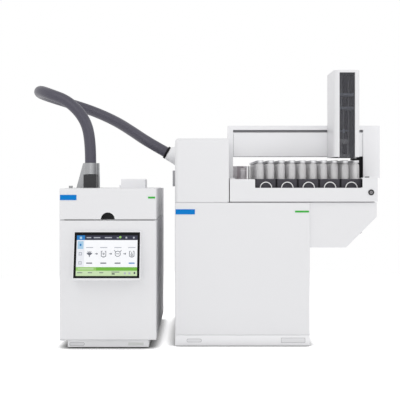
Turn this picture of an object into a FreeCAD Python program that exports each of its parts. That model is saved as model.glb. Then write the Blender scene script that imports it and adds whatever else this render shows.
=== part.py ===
# Bench gas chromatograph with its heated transfer line and headspace sampler, in millimetres
import FreeCAD, Part
import Sketcher
import math
import os
from types import SimpleNamespace

os.makedirs("parts", exist_ok=True)
doc = FreeCAD.newDocument("GasChromatograph")
X, Y, Z = FreeCAD.Vector(1, 0, 0), FreeCAD.Vector(0, 1, 0), FreeCAD.Vector(0, 0, 1)

# Driving dimensions: name, value, what it measures
DIMENSIONS = [
    ("fit_gap", 0.3, "clearance between pieces of different bodies"),
    ("foot_height", 3, "rubber feet under the chromatograph"),
    ("sampler_foot_height", 1, "rubber feet under the sampler, below its base"),
    ("foot_radius", 15, "half the side of a rubber foot"),
    ("foot_inset", 30, "foot centre from the edge of its plinth"),
    ("casing_left", -517, "left side of the chromatograph"),
    ("casing_front", -244, "front face of the casing, behind the door"),
    ("casing_width", 300, "chromatograph width"),
    ("casing_depth", 505, "casing front to back"),
    ("side_vent_length", 60, "slots in the casing's sides"),
    ("side_vent_margin", 30, "slots from the casing's back"),
    ("side_vent_level", 293, "lowest slot above the casing's underside"),
    ("vent_height", 3, "slots in the casing's sides"),
    ("vent_pitch", 8, "slot to slot"),
    ("rear_vent_level", 300, "lowest slot above the rear panel's foot"),
    ("rear_vent_margin", 50, "slots from the rear panel's sides"),
    ("rear_vent_height", 6, "slots in the rear panel"),
    ("rear_vent_pitch", 12, "slot to slot in the rear panel"),
    ("casing_bottom", 27, "underside of the casing above the bench"),
    ("casing_height", 370, "casing up to its deck"),
    ("casing_wall", 12, "double skinned casing wall"),
    ("riser_start", 320, "front of the rear housing from the casing front"),
    ("rim_inset", 2, "step that carries the top cover"),
    ("plinth_inset", 23.5, "plinth set in from the casing sides"),
    ("plinth_front_inset", 12, "plinth set back from the door front"),
    ("door_thickness", 23, "oven door slab"),
    ("door_gap", 2, "door back to casing front"),
    ("door_height", 371, "oven door"),
    ("door_round", 3, "rounded front edges of the door"),
    ("seam", 3, "shadow gap between door and top cover"),
    ("cover_height", 96, "top cover"),
    ("cover_depth", 343, "top cover front to back"),
    ("cover_wall", 4, "top cover wall"),
    ("pull_radius", 21.6, "half round finger hole"),
    ("oven_width", 228, "oven cavity"),
    ("oven_height", 270, "oven cavity"),
    ("oven_depth", 232, "oven cavity"),
    ("oven_floor", 82, "oven cavity floor above the bench"),
    ("sheet", 1.5, "stainless sheet thickness"),
    ("bulkhead_start", 268, "wall between oven and rear bay from the casing front"),
    ("bulkhead", 12, "wall between oven and rear bay"),
    ("plug_depth", 6, "door liner standing into the oven"),
    ("plug_clearance", 3, "door liner to oven wall"),
    ("gasket_width", 8, "rope gasket"),
    ("hinge_inset_x", 6, "hinge axis from the door's left side"),
    ("hinge_inset_y", 6, "hinge axis from the door's front"),
    ("pin_radius", 3, "hinge pin"),
    ("pin_length", 10, "hinge pin inside the door"),
    ("hinge_plate", 2, "hinge plate thickness"),
    ("hinge_plate_width", 14, "hinge plate"),
    ("hinge_plate_inset", 1, "hinge plate from the door's faces"),
    ("screen_width", 202, "touch screen glass"),
    ("screen_height", 142, "touch screen glass along its slope"),
    ("screen_glass", 3, "touch screen glass thickness"),
    ("screen_tilt", 13, "degrees from upright"),
    ("screen_top", 362, "top edge of the glass above the bench"),
    ("screen_rim", 3, "white rim beside the glass"),
    ("screen_chin", 8, "white rim under the glass"),
    ("screen_stand_off", 9, "glass top edge ahead of the door"),
    ("screen_lip", 1, "slope of the rim beside the glass"),
    ("fan_radius", 62, "oven fan"),
    ("fan_blade_depth", 22, "oven fan blades"),
    ("fan_gap", 6, "fan behind its shroud"),
    ("shaft_radius", 4, "oven fan shaft"),
    ("motor_radius", 38, "oven fan motor"),
    ("motor_length", 60, "oven fan motor"),
    ("shroud_depth", 40, "fan shroud ahead of the oven back"),
    ("shroud_side_gap", 14, "fan shroud to the oven's sides"),
    ("shroud_end_gap", 18, "fan shroud to the oven's floor and ceiling"),
    ("intake_slot_width", 5, "slots in the shroud"),
    ("heater_radius", 84, "heater ring"),
    ("heater_section", 6, "heater ring"),
    ("heater_post", 4, "stand-offs of the heater"),
    ("coil_radius", 88, "column coil outside"),
    ("coil_wall", 9, "column coil thickness"),
    ("coil_depth", 32, "column coil front to back"),
    ("coil_gap", 12, "column coil ahead of the shroud"),
    ("basket_bar", 3, "bars of the column's basket"),
    ("basket_gap", 0.1, "basket bars inside the coil"),
    ("inlet_offset", -81.6, "injection port and transfer line from the casing's middle"),
    ("inlet_y", -59, "injection port and transfer line"),
    ("inlet_radius", 15, "injection port body"),
    ("inlet_flange", 12, "injection port flange height"),
    ("detector_offset", 65.5, "detector from the casing's middle"),
    ("detector_y", -63, "detector"),
    ("detector_radius", 17, "detector body"),
    ("detector_flange", 14, "detector flange height"),
    ("nut_radius", 6, "column nuts under both ports"),
    ("nut_height", 14, "column nuts under both ports"),
    ("nut_drop", 10, "ports below the oven's ceiling"),
    ("hole_clearance", 1, "holes round the ports and the shaft"),
    ("lid_width", 80, "detector lid"),
    ("lid_depth", 92, "detector lid"),
    ("lid_height", 30, "detector lid"),
    ("lid_tab_reach", 5.6, "tab at the lid's left foot"),
    ("lid_tab_size", 10, "tab at the lid's left foot"),
    ("block_width", 43, "black heated block on the top cover"),
    ("block_height", 44.5, "black heated block on the top cover"),
    ("block_round", 3.5, "black heated block's upright edges"),
    ("sleeve_radius", 21, "metal sleeve at the line's start"),
    ("sleeve_height", 37.5, "metal sleeve at the line's start"),
    ("bracket_height", 83.5, "bracket behind the sleeve"),
    ("bracket_left", 51, "bracket foot left of the sleeve axis"),
    ("bracket_right", 28.6, "bracket foot right of the sleeve axis"),
    ("bracket_lean_left", 22.6, "slope of the bracket's left edge"),
    ("bracket_lean_right", 1.6, "slope of the bracket's right edge"),
    ("line_radius", 19, "heated transfer line"),
    ("boot_base_z", 610.6, "middle of the moulded boot at the sampler wall above the bench"),
    ("boot_radius", 38, "moulded boot at the sampler wall"),
    ("boot_lean", 7, "degrees by which the boot's axis falls"),
    ("boot_flare", 25.1, "degrees between the boot's axis and its side"),
    ("collar_radius", 23, "ring at the line's end"),
    ("collar_length", 8, "ring at the line's end"),
    ("side_cover_depth", 200, "cover under the boot, front to back"),
    ("side_cover_start", 150, "cover under the boot from the sampler front"),
    ("side_cover_proud", 12, "cover under the boot from the wall"),
    ("side_cover_low", 47, "cover under the boot above the tray's foot"),
    ("side_cover_height", 53, "cover under the boot"),
    ("sampler_left", -160, "left side of the sampler"),
    ("sampler_front", -229, "front plane of the sampler"),
    ("sampler_width", 425.5, "sampler body"),
    ("sampler_depth", 540, "sampler body"),
    ("sampler_bottom", 34, "underside of the sampler body above the bench"),
    ("sampler_height", 418, "sampler body"),
    ("sampler_front_panel", 18, "front panel thickness"),
    ("sampler_round", 3, "rounded edges of the sampler"),
    ("sampler_base_inset", 1, "base strip set in"),
    ("cable_recess_start", 60, "cable recess from the body's left side"),
    ("cable_recess_width", 160, "cable recess"),
    ("cable_recess_low", 60, "cable recess above the body's underside"),
    ("cable_recess_height", 100, "cable recess"),
    ("cable_recess_depth", 30, "cable recess"),
    ("left_vent_length", 90, "slots in the sampler's left side"),
    ("left_vent_margin", 40, "slots from the sampler's back"),
    ("left_vent_depth", 6, "slots in the sampler's left side"),
    ("left_vent_height", 4, "slots in the sampler's left side"),
    ("left_vent_pitch", 12, "slot to slot in the sampler's left side"),
    ("upper_width", 170, "upper left housing"),
    ("upper_height", 201, "upper left housing"),
    ("upper_depth", 440, "upper left housing"),
    ("upper_round", 12, "rounded top edges of the upper housing"),
    ("upper_seam", 2, "shadow gap under the upper housing"),
    ("seam_inset", 4, "feet in the shadow gaps, set in from the sides"),
    ("hang_side_inset", 1, "housing that hangs at the right, in from the tray's right side"),
    ("hang_height", 142, "housing that hangs at the right"),
    ("hang_chamfer", 97, "its cut lower corner"),
    ("hang_front_inset", 8, "its front behind the front plane"),
    ("hang_depth", 490, "its depth"),
    ("tray_left", 13, "left side of the vial tray"),
    ("tray_floor", 15, "vial tray floor"),
    ("tray_front_panel", 20, "panel ahead of the racks"),
    ("rail_width", 16.5, "side rails"),
    ("rack_left_margin", 82, "first rack from the tray's left side"),
    ("rack_right_margin", 43.7, "last rack from the tray's right side"),
    ("rail_top", 529.7, "top of the side rails above the bench"),
    ("tray_back_top", 524, "top of the housing behind the racks"),
    ("tray_back_start", 445, "front of the housing behind the racks"),
    ("recess_left_margin", 2.4, "cut-away front, left of the first rack"),
    ("recess_right_margin", 4, "cut-away front, short of the last rack's right side"),
    ("recess_bottom", 498.3, "cut-away front above the bench"),
    ("front_left_top", 526, "front panel left of the cut-away"),
    ("front_right_top", 531, "front panel right of the cut-away"),
    ("rack_pitch", 68, "rack to rack"),
    ("rack_gap", 0.8, "gap between racks"),
    ("rack_start", 28, "front of the racks from the sampler front"),
    ("rack_length", 410, "rack front to back"),
    ("rack_height", 56.4, "rack"),
    ("rack_wall", 4, "rack end wall"),
    ("trough_width", 24, "row of vial seats"),
    ("trough_depth", 18, "row of vial seats"),
    ("pull_ring_radius", 20, "rack's ring pull"),
    ("pull_ring_width", 4, "rack's ring pull"),
    ("pull_ring_proud", 3, "rack's ring pull"),
    ("vial_pitch", 34, "vial to vial along a rack"),
    ("vial_column_pitch", 34, "vial to vial across a rack"),
    ("vial_rows", 12, "vials in a column"),
    ("vial_start", 45, "first vial row from the sampler front"),
    ("vial_radius", 11.25, "vial body"),
    ("vial_body_height", 62, "vial body below its shoulder"),
    ("vial_neck_height", 70, "vial up to its cap"),
    ("vial_height", 78, "vial with its crimped cap"),
    ("cap_radius", 10.4, "crimped cap"),
    ("button_radius", 9.2, "park button"),
    ("button_inset", 20.4, "park button from the tray's right side"),
    ("button_z", 484.2, "park button"),
    ("button_length", 16, "park button"),
    ("button_proud", 1.5, "park button ahead of the panel"),
    ("station_left", 32, "heating port block left of the racks"),
    ("station_start", 20, "heating port block behind the racks' front"),
    ("station_back_start", 206, "rear part of the block behind the racks' front"),
    ("station_back_depth", 100, "rear part of the block"),
    ("station_back_inset", 3, "rear part of the block from its left side"),
    ("station_back_width", 46, "rear part of the block"),
    ("station_back_top", 571, "rear part of the block above the bench"),
    ("station_width", 60, "heating port block"),
    ("station_height", 34, "heating port block"),
    ("station_port_x", 64.4, "heating ports"),
    ("station_port_radius", 13, "heating ports"),
    ("station_well_radius", 9.4, "closed well behind the heating ports"),
    ("station_well_start", 144, "closed well behind the racks' front"),
    ("station_well_top", 558, "closed well above the bench"),
    ("station_post_radius", 2.5, "thin post beside the rear part"),
    ("station_post_gap", 5.5, "thin post from the block's right side"),
    ("bridge_start", 140, "bridge front from the sampler front"),
    ("bridge_depth", 50, "bridge front to back"),
    ("bridge_left_reach", 1, "bridge beyond the tray's left side"),
    ("bridge_right_reach", 38.7, "bridge beyond the tray's right side"),
    ("bridge_height", 174, "bridge posts"),
    ("bridge_left_post", 17.4, "left post"),
    ("bridge_right_post", 55.4, "right post"),
    ("beam_height", 103, "bridge beam"),
    ("bridge_round", 2, "rounded upper corners"),
    ("beam_recess", 1.5, "face of the beam behind the posts"),
    ("slot_bottom", 151.6, "guide slot above the posts' feet"),
    ("slot_height", 8.3, "guide slot"),
    ("slot_depth", 12, "guide slot"),
    ("slide_gap", 0.5, "tower to bridge"),
    ("reader_gap", 0.5, "code reader to the right post"),
    ("reader_width", 14.9, "code reader"),
    ("reader_depth", 30, "code reader"),
    ("reader_arm", 20.6, "code reader's arm"),
    ("reader_start", 5, "code reader behind the bridge front"),
    ("reader_arm_height", 7, "code reader's arm"),
    ("reader_arm_drop", 4.5, "code reader's arm below the beam"),
    ("tower_width", 83, "lift tower"),
    ("tower_start", 5, "tower front from the sampler front"),
    ("tower_bottom", 596, "underside of the tower above the bench"),
    ("tower_height", 275, "lift tower"),
    ("tower_wall", 4, "lift tower wall"),
    ("tower_round", 18, "tower's rounded front"),
    ("window_width", 49, "smoked window"),
    ("window_margin", 8, "smoked window below the tower's top"),
    ("window_drop", 4, "smoked window below the tower's foot"),
    ("window_glass", 2, "smoked window"),
    ("runner_width", 40, "runner in the guide slot"),
    ("guide_radius", 4, "lift guide rods"),
    ("guide_spread", 24, "guide rod from the middle"),
    ("guide_y", 112, "guide rods from the sampler front"),
    ("guide_foot", 4, "guide rods above the tower's foot"),
    ("screw_radius", 6, "lift screw"),
    ("carriage_bottom", 752, "lift carriage above the bench"),
    ("carriage_height", 52, "lift carriage"),
    ("carriage_plate", 8, "lift carriage plates"),
    ("gripper_y", 78.8, "gripper axis from the sampler front"),
    ("finger_bottom", 594, "tips of the fingers at rest"),
    ("finger_length", 46, "gripper fingers"),
    ("finger_offset", 12.5, "inside of the fingers from the axis"),
    ("finger_thickness", 3, "gripper fingers"),
    ("finger_width", 12, "gripper fingers"),
    ("head_height", 16, "gripper head"),
    ("lift_rod_radius", 5, "rod between gripper head and carriage"),
    ("badge_width", 51, "plain coloured plate on the top cover"),
    ("wide_badge_width", 61, "plain coloured plate on the sampler"),
    ("badge_inset", 2, "plates from the left sides"),
    ("badge_level", 60, "plate above the top cover's lower edge"),
    ("badge_drop", 37, "plate's lower edge below the sampler's top"),
    ("badge_height", 16, "plain coloured plates"),
    ("plate_thickness", 1.2, "plates and status bars"),
    ("bar_height", 5.5, "status bars"),
    ("bar_width", 22, "status bar on the top cover"),
    ("wide_bar_width", 44, "status bar on the sampler"),
    ("bar_inset", 3, "status bars from the right sides"),
    ("bar_level", 65, "status bar above the top cover's lower edge"),
    ("bar_drop", 31, "status bar's lower edge below the sampler's top"),
    ("top_knob_radius", 6, "knob on the top cover"),
    ("top_knob_height", 8, "knob on the top cover"),
    ("top_knob_inset", 25, "knob on the top cover from its left side"),
    ("side_knob_radius", 4, "knob on the cut lower corner"),
    ("side_knob_height", 5, "knob on the cut lower corner"),
    ("side_knob_start", 30, "knob on the cut lower corner from the sampler front"),
    ("fitting_start", 70, "first gas fitting from the casing's left side"),
    ("fitting_pitch", 28, "gas fitting to gas fitting"),
    ("fitting_drop", 60, "gas fittings below the deck"),
    ("fitting_nut", 8, "gas fitting nut, to its corners"),
    ("fitting_nut_length", 10, "gas fitting nut"),
    ("fitting_bore", 3, "gas fitting's pipe stub"),
    ("fitting_length", 18, "gas fitting's pipe stub"),
    ("socket_width", 50, "mains inlet frame"),
    ("socket_height", 30, "mains inlet frame"),
    ("socket_depth", 6, "mains inlet frame"),
    ("socket_margin", 40, "mains inlet from the casing's right side"),
    ("socket_level", 40, "mains inlet above the casing's underside"),
    ("socket_rim_side", 10, "mains inlet's rim"),
    ("socket_rim_end", 4, "mains inlet's rim"),
    ("socket_floor", 1, "mains inlet's back"),
    ("board_gap", 8, "control board from the casing's wall"),
    ("board_thickness", 2, "control board"),
    ("board_start", 40, "control board behind the bulkhead"),
    ("board_level", 60, "control board above the casing's underside"),
    ("board_depth", 150, "control board"),
    ("board_height", 260, "control board"),
    ("board_stand", 4, "control board's stand-offs"),
    ("board_stand_inset", 10, "stand-offs from the board's edges"),
]


class Size(float):
    """A number that keeps the formula it was worked out with, so that objects can be bound to it."""

    def __new__(cls, value, formula):
        size = super().__new__(cls, value)
        size.formula = formula
        return size

    def __add__(self, other):
        return Size(float(self) + float(other), f"({self.formula} + {formula_of(other)})")

    def __sub__(self, other):
        return Size(float(self) - float(other), f"({self.formula} - {formula_of(other)})")

    def __rsub__(self, other):
        return Size(float(other) - float(self), f"({formula_of(other)} - {self.formula})")

    def __mul__(self, other):
        return Size(float(self) * float(other), f"({self.formula} * {formula_of(other)})")

    def __truediv__(self, other):
        return Size(float(self) / float(other), f"({self.formula} / {formula_of(other)})")

    def __neg__(self):
        return Size(-float(self), f"(0 - {self.formula})")

    __radd__ = __add__
    __rmul__ = __mul__


def formula_of(value):
    return value.formula if isinstance(value, Size) else f"({float(value)!r})"


def make_sheet():
    """Spreadsheet with one driving dimension a row, read back as bound sizes."""
    sheet = doc.addObject("Spreadsheet::Sheet", "Sizes")
    for row, (alias, value, note) in enumerate(DIMENSIONS, start=1):
        sheet.set(f"A{row}", alias)
        sheet.set(f"B{row}", str(value))
        sheet.setAlias(f"B{row}", alias)
        sheet.set(f"C{row}", note)
    doc.recompute()
    return SimpleNamespace(**{alias: Size(float(sheet.get(alias)), "Sizes." + alias)
                              for alias, value, note in DIMENSIONS})


s = make_sheet()
sub_parts = []

# Planes that several pieces share
casing_right = s.casing_left + s.casing_width
casing_middle = s.casing_left + s.casing_width / 2
inlet_x = casing_middle + s.inlet_offset
detector_x = casing_middle + s.detector_offset
casing_back = s.casing_front + s.casing_depth
casing_top = s.casing_bottom + s.casing_height
door_back = s.casing_front - s.door_gap
door_front = door_back - s.door_thickness
door_top = s.casing_bottom + s.door_height
cover_bottom = door_top + s.seam
cover_top = cover_bottom + s.cover_height
rim_height = cover_bottom - s.casing_bottom
oven_left = casing_middle - s.oven_width / 2
oven_right = casing_middle + s.oven_width / 2
oven_back = s.casing_front + s.oven_depth
oven_top = s.oven_floor + s.oven_height
oven_middle = s.oven_floor + s.oven_height / 2
bulkhead_front = s.casing_front + s.bulkhead_start
bay_front = bulkhead_front + s.bulkhead
hinge_x = s.casing_left + s.hinge_inset_x
hinge_y = door_front + s.hinge_inset_y
body_left = s.sampler_left
body_right = s.sampler_left + s.sampler_width
body_back = s.sampler_front + s.sampler_depth
body_top = s.sampler_bottom + s.sampler_height
tray_bottom = body_top + s.seam
tray_top = tray_bottom + s.tray_floor
RACK_COUNT = 5
rack_first = s.tray_left + s.rack_left_margin
tray_right = rack_first + s.rack_pitch * RACK_COUNT + s.rack_right_margin
tray_width = tray_right - s.tray_left
bridge_left = s.tray_left - s.bridge_left_reach
bridge_width = tray_right + s.bridge_right_reach - bridge_left
bridge_bottom = s.rail_top + s.fit_gap
hang_width = tray_right - s.hang_side_inset - body_right
button_x = tray_right - s.button_inset
gripper_x = rack_first + s.rack_pitch * (RACK_COUNT - 0.5) - s.vial_column_pitch / 2
rack_front = s.sampler_front + s.rack_start
vial_bottom = tray_top + s.rack_height - s.trough_depth
bridge_front = s.sampler_front + s.bridge_start
tower_front = s.sampler_front + s.tower_start
tower_back = bridge_front - s.slide_gap
tower_left = gripper_x - s.tower_width / 2
tower_top = s.tower_bottom + s.tower_height
guide_line = s.sampler_front + s.guide_y
gripper_line = s.sampler_front + s.gripper_y


def bind(item, **sizes):
    """Bind properties to the sheet, or set them where the size is a plain number."""
    for name, size in sizes.items():
        if isinstance(size, Size):
            item.setExpression(name, size.formula)
        else:
            setattr(item, name, size)


def place(item, corner, turn=None):
    """Put an object's own origin at a bound point."""
    item.Placement = FreeCAD.Placement(FreeCAD.Vector(*corner), turn or FreeCAD.Rotation())
    for axis, size in zip("xyz", corner):
        if isinstance(size, Size):
            item.setExpression("Placement.Base." + axis, size.formula)


def finish(item):
    """Mark an object as a finished sub-part."""
    sub_parts.append(item)
    return item


def block(name, low, high):
    """Block between two opposite corners."""
    item = doc.addObject("Part::Box", name)
    place(item, low)
    bind(item, Length=high[0] - low[0], Width=high[1] - low[1], Height=high[2] - low[2])
    return item


TURNS = {
    "x": FreeCAD.Rotation(Y, 90),
    "y": FreeCAD.Rotation(X, -90),
    "z": FreeCAD.Rotation(),
}


def rod(name, start, axis, radius, length):
    """Cylinder that runs from a point along an axis."""
    item = doc.addObject("Part::Cylinder", name)
    place(item, start, TURNS[axis])
    bind(item, Radius=radius, Height=length)
    return item


def join(name, *pieces):
    item = doc.addObject("Part::MultiFuse", name)
    item.Shapes = list(pieces)
    return item


def group(name, *pieces):
    """Like pieces that stay separate solids of one sub-part."""
    item = doc.addObject("Part::Compound", name)
    item.Links = list(pieces)
    return item


def cut(name, base, *tools):
    item = doc.addObject("Part::Cut", name)
    item.Base = base
    item.Tool = tools[0] if len(tools) == 1 else join(name + "_holes", *tools)
    return item


def new_body(name, corner):
    body = doc.addObject("PartDesign::Body", name)
    place(body, corner)
    return body


def origin_feature(body, role):
    return next(item for item in body.Origin.OriginFeatures if item.Role == role)


def outline(body, name, plane, corners, offset=0):
    """Closed sketch of straight lines on an origin plane, each corner bound to the sheet."""
    sketch = body.newObject("Sketcher::SketchObject", name)
    sketch.AttachmentSupport = [(origin_feature(body, plane + "_Plane"), "")]
    sketch.MapMode = "FlatFace"
    if isinstance(offset, Size):
        sketch.setExpression("AttachmentOffset.Base.z", offset.formula)
    points = [FreeCAD.Vector(across, up, 0) for across, up in corners]
    for number, start in enumerate(points):
        sketch.addGeometry(Part.LineSegment(start, points[(number + 1) % len(points)]))
    for number in range(len(points)):
        sketch.addConstraint(Sketcher.Constraint("Coincident", number, 2, (number + 1) % len(points), 1))
    for number, (across, up) in enumerate(corners):
        for kind, size in (("DistanceX", across), ("DistanceY", up)):
            index = sketch.addConstraint(Sketcher.Constraint(kind, -1, 1, number, 1, float(size)))
            if isinstance(size, Size):
                sketch.setExpression(f"Constraints[{index}]", size.formula)
    return sketch


def pad(body, name, sketch, length, back=False):
    feature = body.newObject("PartDesign::Pad", name)
    feature.Profile = sketch
    feature.Reversed = back
    bind(feature, Length=length)
    return feature


def feature_block(body, name, kind, low, high):
    """Block added to or taken from a body, between two corners in the body's own frame."""
    feature = body.newObject(f"PartDesign::{kind}Box", name)
    place(feature, low)
    bind(feature, Length=high[0] - low[0], Width=high[1] - low[1], Height=high[2] - low[2])
    return feature


def feature_bore(body, name, start, axis, radius, length):
    """Round hole in a body, from a point in the body's own frame."""
    feature = body.newObject("PartDesign::SubtractiveCylinder", name)
    place(feature, start, TURNS[axis])
    bind(feature, Radius=radius, Height=length)
    return feature


def edges_on(feature, direction=None, **planes):
    """Names of the straight edges that lie in the given planes and run in the given direction."""
    doc.recompute()
    names = []
    for number, edge in enumerate(feature.Shape.Edges, start=1):
        ends = [vertex.Point for vertex in edge.Vertexes]
        if len(ends) < 2:
            continue
        run = (ends[1] - ends[0]).normalize()
        along = direction is None or abs(abs(getattr(run, direction)) - 1) < 1e-6
        inside = all(abs(getattr(end, axis) - level) < 1e-4 for axis, level in planes.items() for end in ends)
        if along and inside:
            names.append(f"Edge{number}")
    return names


def rounded(body, name, feature, edges, radius):
    fillet = body.newObject("PartDesign::Fillet", name)
    fillet.Base = (feature, edges)
    bind(fillet, Radius=radius)
    return fillet


def repeated(body, name, feature, role, length, count):
    pattern = body.newObject("PartDesign::LinearPattern", name)
    pattern.Originals = [feature]
    pattern.Direction = (origin_feature(body, role), [""])
    bind(pattern, Length=length)
    pattern.Occurrences = count
    body.Tip = pattern
    return pattern


def turned_body(name, corner, steps):
    """Turned piece about Z from (radius, height) steps, starting at the bottom."""
    body = new_body(name, corner)
    corners = [(0, 0)]
    level = 0
    for radius, height in steps:
        corners += [(radius, level), (radius, level + height)]
        level = level + height
    corners.append((0, level))
    sketch = outline(body, name + "_profile", "XZ", corners)
    turn = body.newObject("PartDesign::Revolution", name + "_turned")
    turn.Profile = sketch
    turn.ReferenceAxis = (sketch, ["V_Axis"])
    turn.Angle = 360
    return body


# Feet and plinth
def make_feet():
    feet = []
    plinth_left = s.casing_left + s.plinth_inset
    plinth_right = casing_right - s.plinth_inset
    base_left = body_left + s.sampler_base_inset
    base_right = body_right - s.sampler_base_inset
    for unit, height, left, right, front, back in (
            ("casing", s.foot_height, plinth_left, plinth_right, s.casing_front, casing_back),
            ("sampler", s.sampler_foot_height, base_left, base_right, s.sampler_front, body_back)):
        for x_name, x in (("left", left + s.foot_inset), ("right", right - s.foot_inset)):
            for y_name, y in (("front", front + s.foot_inset), ("back", back - s.foot_inset)):
                feet.append(block(f"{unit}_{x_name}_{y_name}_foot", (x - s.foot_radius, y - s.foot_radius, 0),
                                  (x + s.foot_radius, y + s.foot_radius, height)))
    finish(group("rubber_feet", *feet))


def make_plinth():
    width = s.casing_width - s.plinth_inset * 2
    start = door_front + s.plinth_front_inset
    body = new_body("base_plinth", (s.casing_left + s.plinth_inset, start, s.foot_height))
    slab = feature_block(body, "plinth_slab", "Additive", (0, 0, 0),
                         (width, casing_back - start, s.casing_bottom - s.foot_height))
    rounded(body, "plinth_corners", slab, edges_on(slab, "z"), s.door_round)
    finish(body)


# Chromatograph casing
SIDE_VENT_COUNT = 5
REAR_VENT_COUNT = 8


def port_holes(body, corner, level, depth):
    """Holes for the injection port and the detector, in a body whose origin is at the given corner."""
    for name, x, y, radius in (("inlet", inlet_x, s.inlet_y, s.inlet_radius),
                               ("detector", detector_x, s.detector_y, s.detector_radius)):
        start = (x - corner[0], y - corner[1], level)
        feature_bore(body, f"{body.Name}_{name}_hole", start, "z", radius + s.hole_clearance, depth)


def make_casing():
    corner = (s.casing_left, s.casing_front, s.casing_bottom)
    body = new_body("body_shell", corner)
    riser_top = cover_top - s.casing_bottom - s.seam
    profile = outline(body, "casing_profile", "YZ", [
        (0, 0), (s.casing_depth, 0), (s.casing_depth, riser_top), (s.riser_start, riser_top),
        (s.riser_start, s.casing_height), (0, s.casing_height)])
    pad(body, "casing_block", profile, s.casing_width)
    feature_block(body, "cover_rim", "Additive", (s.rim_inset, s.rim_inset, s.casing_height),
                  (s.casing_width - s.rim_inset, s.riser_start, rim_height))
    feature_block(body, "oven_bay", "Subtractive", (s.casing_wall, 0, s.casing_wall),
                  (s.casing_width - s.casing_wall, s.bulkhead_start, s.casing_height - s.casing_wall))
    feature_block(body, "rear_bay", "Subtractive", (s.casing_wall, s.bulkhead_start + s.bulkhead, s.casing_wall),
                  (s.casing_width - s.casing_wall, s.casing_depth, s.casing_height - s.casing_wall))
    feature_block(body, "riser_bay", "Subtractive",
                  (s.casing_wall, s.riser_start + s.casing_wall, s.casing_height - s.casing_wall),
                  (s.casing_width - s.casing_wall, s.casing_depth, riser_top - s.casing_wall))
    feature_bore(body, "shaft_hole", (s.casing_width / 2, s.bulkhead_start, oven_middle - s.casing_bottom),
                 "y", s.shaft_radius + s.hole_clearance, s.bulkhead)
    port_holes(body, corner, s.casing_height - s.casing_wall, rim_height - s.casing_height + s.casing_wall)
    vent_end = s.casing_depth - s.side_vent_margin
    vent = feature_block(body, "side_vent", "Subtractive", (0, vent_end - s.side_vent_length, s.side_vent_level),
                         (s.casing_width, vent_end, s.side_vent_level + s.vent_height))
    repeated(body, "side_vents", vent, "Z_Axis", s.vent_pitch * (SIDE_VENT_COUNT - 1), SIDE_VENT_COUNT)
    finish(body)


def make_rear_panel():
    """Vented sheet that closes the rear bay."""
    width = s.casing_width - s.casing_wall * 2
    height = cover_top - s.seam - s.casing_wall * 2 - s.casing_bottom
    corner = (s.casing_left + s.casing_wall, casing_back - s.sheet, s.casing_bottom + s.casing_wall)
    body = new_body("rear_panel", corner)
    feature_block(body, "rear_sheet", "Additive", (0, 0, 0), (width, s.sheet, height))
    vent = feature_block(body, "rear_vent", "Subtractive", (s.rear_vent_margin, 0, s.rear_vent_level),
                         (width - s.rear_vent_margin, s.sheet, s.rear_vent_level + s.rear_vent_height))
    repeated(body, "rear_vents", vent, "Z_Axis", s.rear_vent_pitch * (REAR_VENT_COUNT - 1), REAR_VENT_COUNT)
    finish(body)


def make_top_cover():
    body = new_body("top_cover", (s.casing_left, door_front, cover_bottom))
    slab = feature_block(body, "cover_block", "Additive", (0, 0, 0), (s.casing_width, s.cover_depth, s.cover_height))
    edges = edges_on(slab, "z", y=0) + edges_on(slab, z=float(s.cover_height))
    rounded(body, "cover_edges", slab, edges, s.door_round)
    feature_block(body, "cover_hollow", "Subtractive", (s.cover_wall, s.cover_wall, 0),
                  (s.casing_width - s.cover_wall, s.cover_depth - s.cover_wall, s.cover_height - s.cover_wall))
    feature_bore(body, "finger_hole", (s.casing_width / 2, 0, 0), "y", s.pull_radius, s.cover_wall)
    port_holes(body, (s.casing_left, door_front), s.cover_height - s.cover_wall, s.cover_wall)
    finish(body)


# Oven door with its touch screen
def make_door():
    corner = (s.casing_left, door_front, s.casing_bottom)
    body = new_body("oven_door", corner)
    slab = feature_block(body, "door_slab", "Additive", (0, 0, 0), (s.casing_width, s.door_thickness, s.door_height))
    edges = edges_on(slab, "z", y=0) + edges_on(slab, "x", y=0)
    rounded(body, "door_edges", slab, edges, s.door_round)
    for name, level in (("lower_pin_hole", 0), ("upper_pin_hole", s.door_height - s.pin_length)):
        feature_bore(body, name, (s.hinge_inset_x, s.hinge_inset_y, level), "z",
                     s.pin_radius + s.fit_gap, s.pin_length)
    finish(body)


def make_hinges():
    """Plates on the casing, above and below the door, each with its pin."""
    plate_left = s.casing_left + s.hinge_plate_inset
    plate_right = plate_left + s.hinge_plate_width
    plates = []
    for name, level, pin_start in (
            ("lower_hinge", s.casing_bottom - s.hinge_plate - s.fit_gap, s.casing_bottom - s.fit_gap),
            ("upper_hinge", door_top + s.fit_gap, door_top - s.pin_length + s.fit_gap)):
        plate = block(name + "_plate", (plate_left, door_front + s.hinge_plate_inset, level),
                      (plate_right, s.casing_front + s.rim_inset, level + s.hinge_plate))
        pin = rod(name + "_pin", (hinge_x, hinge_y, pin_start), "z", s.pin_radius, s.pin_length)
        plates.append(join(name, plate, pin))
    foot = block("lower_hinge_foot", (plate_left, s.casing_front, s.casing_bottom - s.fit_gap - s.hinge_plate),
                 (plate_right, s.casing_front + s.casing_wall, s.casing_bottom))
    plates[0] = join("lower_hinge_bracket", plates[0], foot)
    finish(group("hinge_brackets", *plates))


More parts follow.
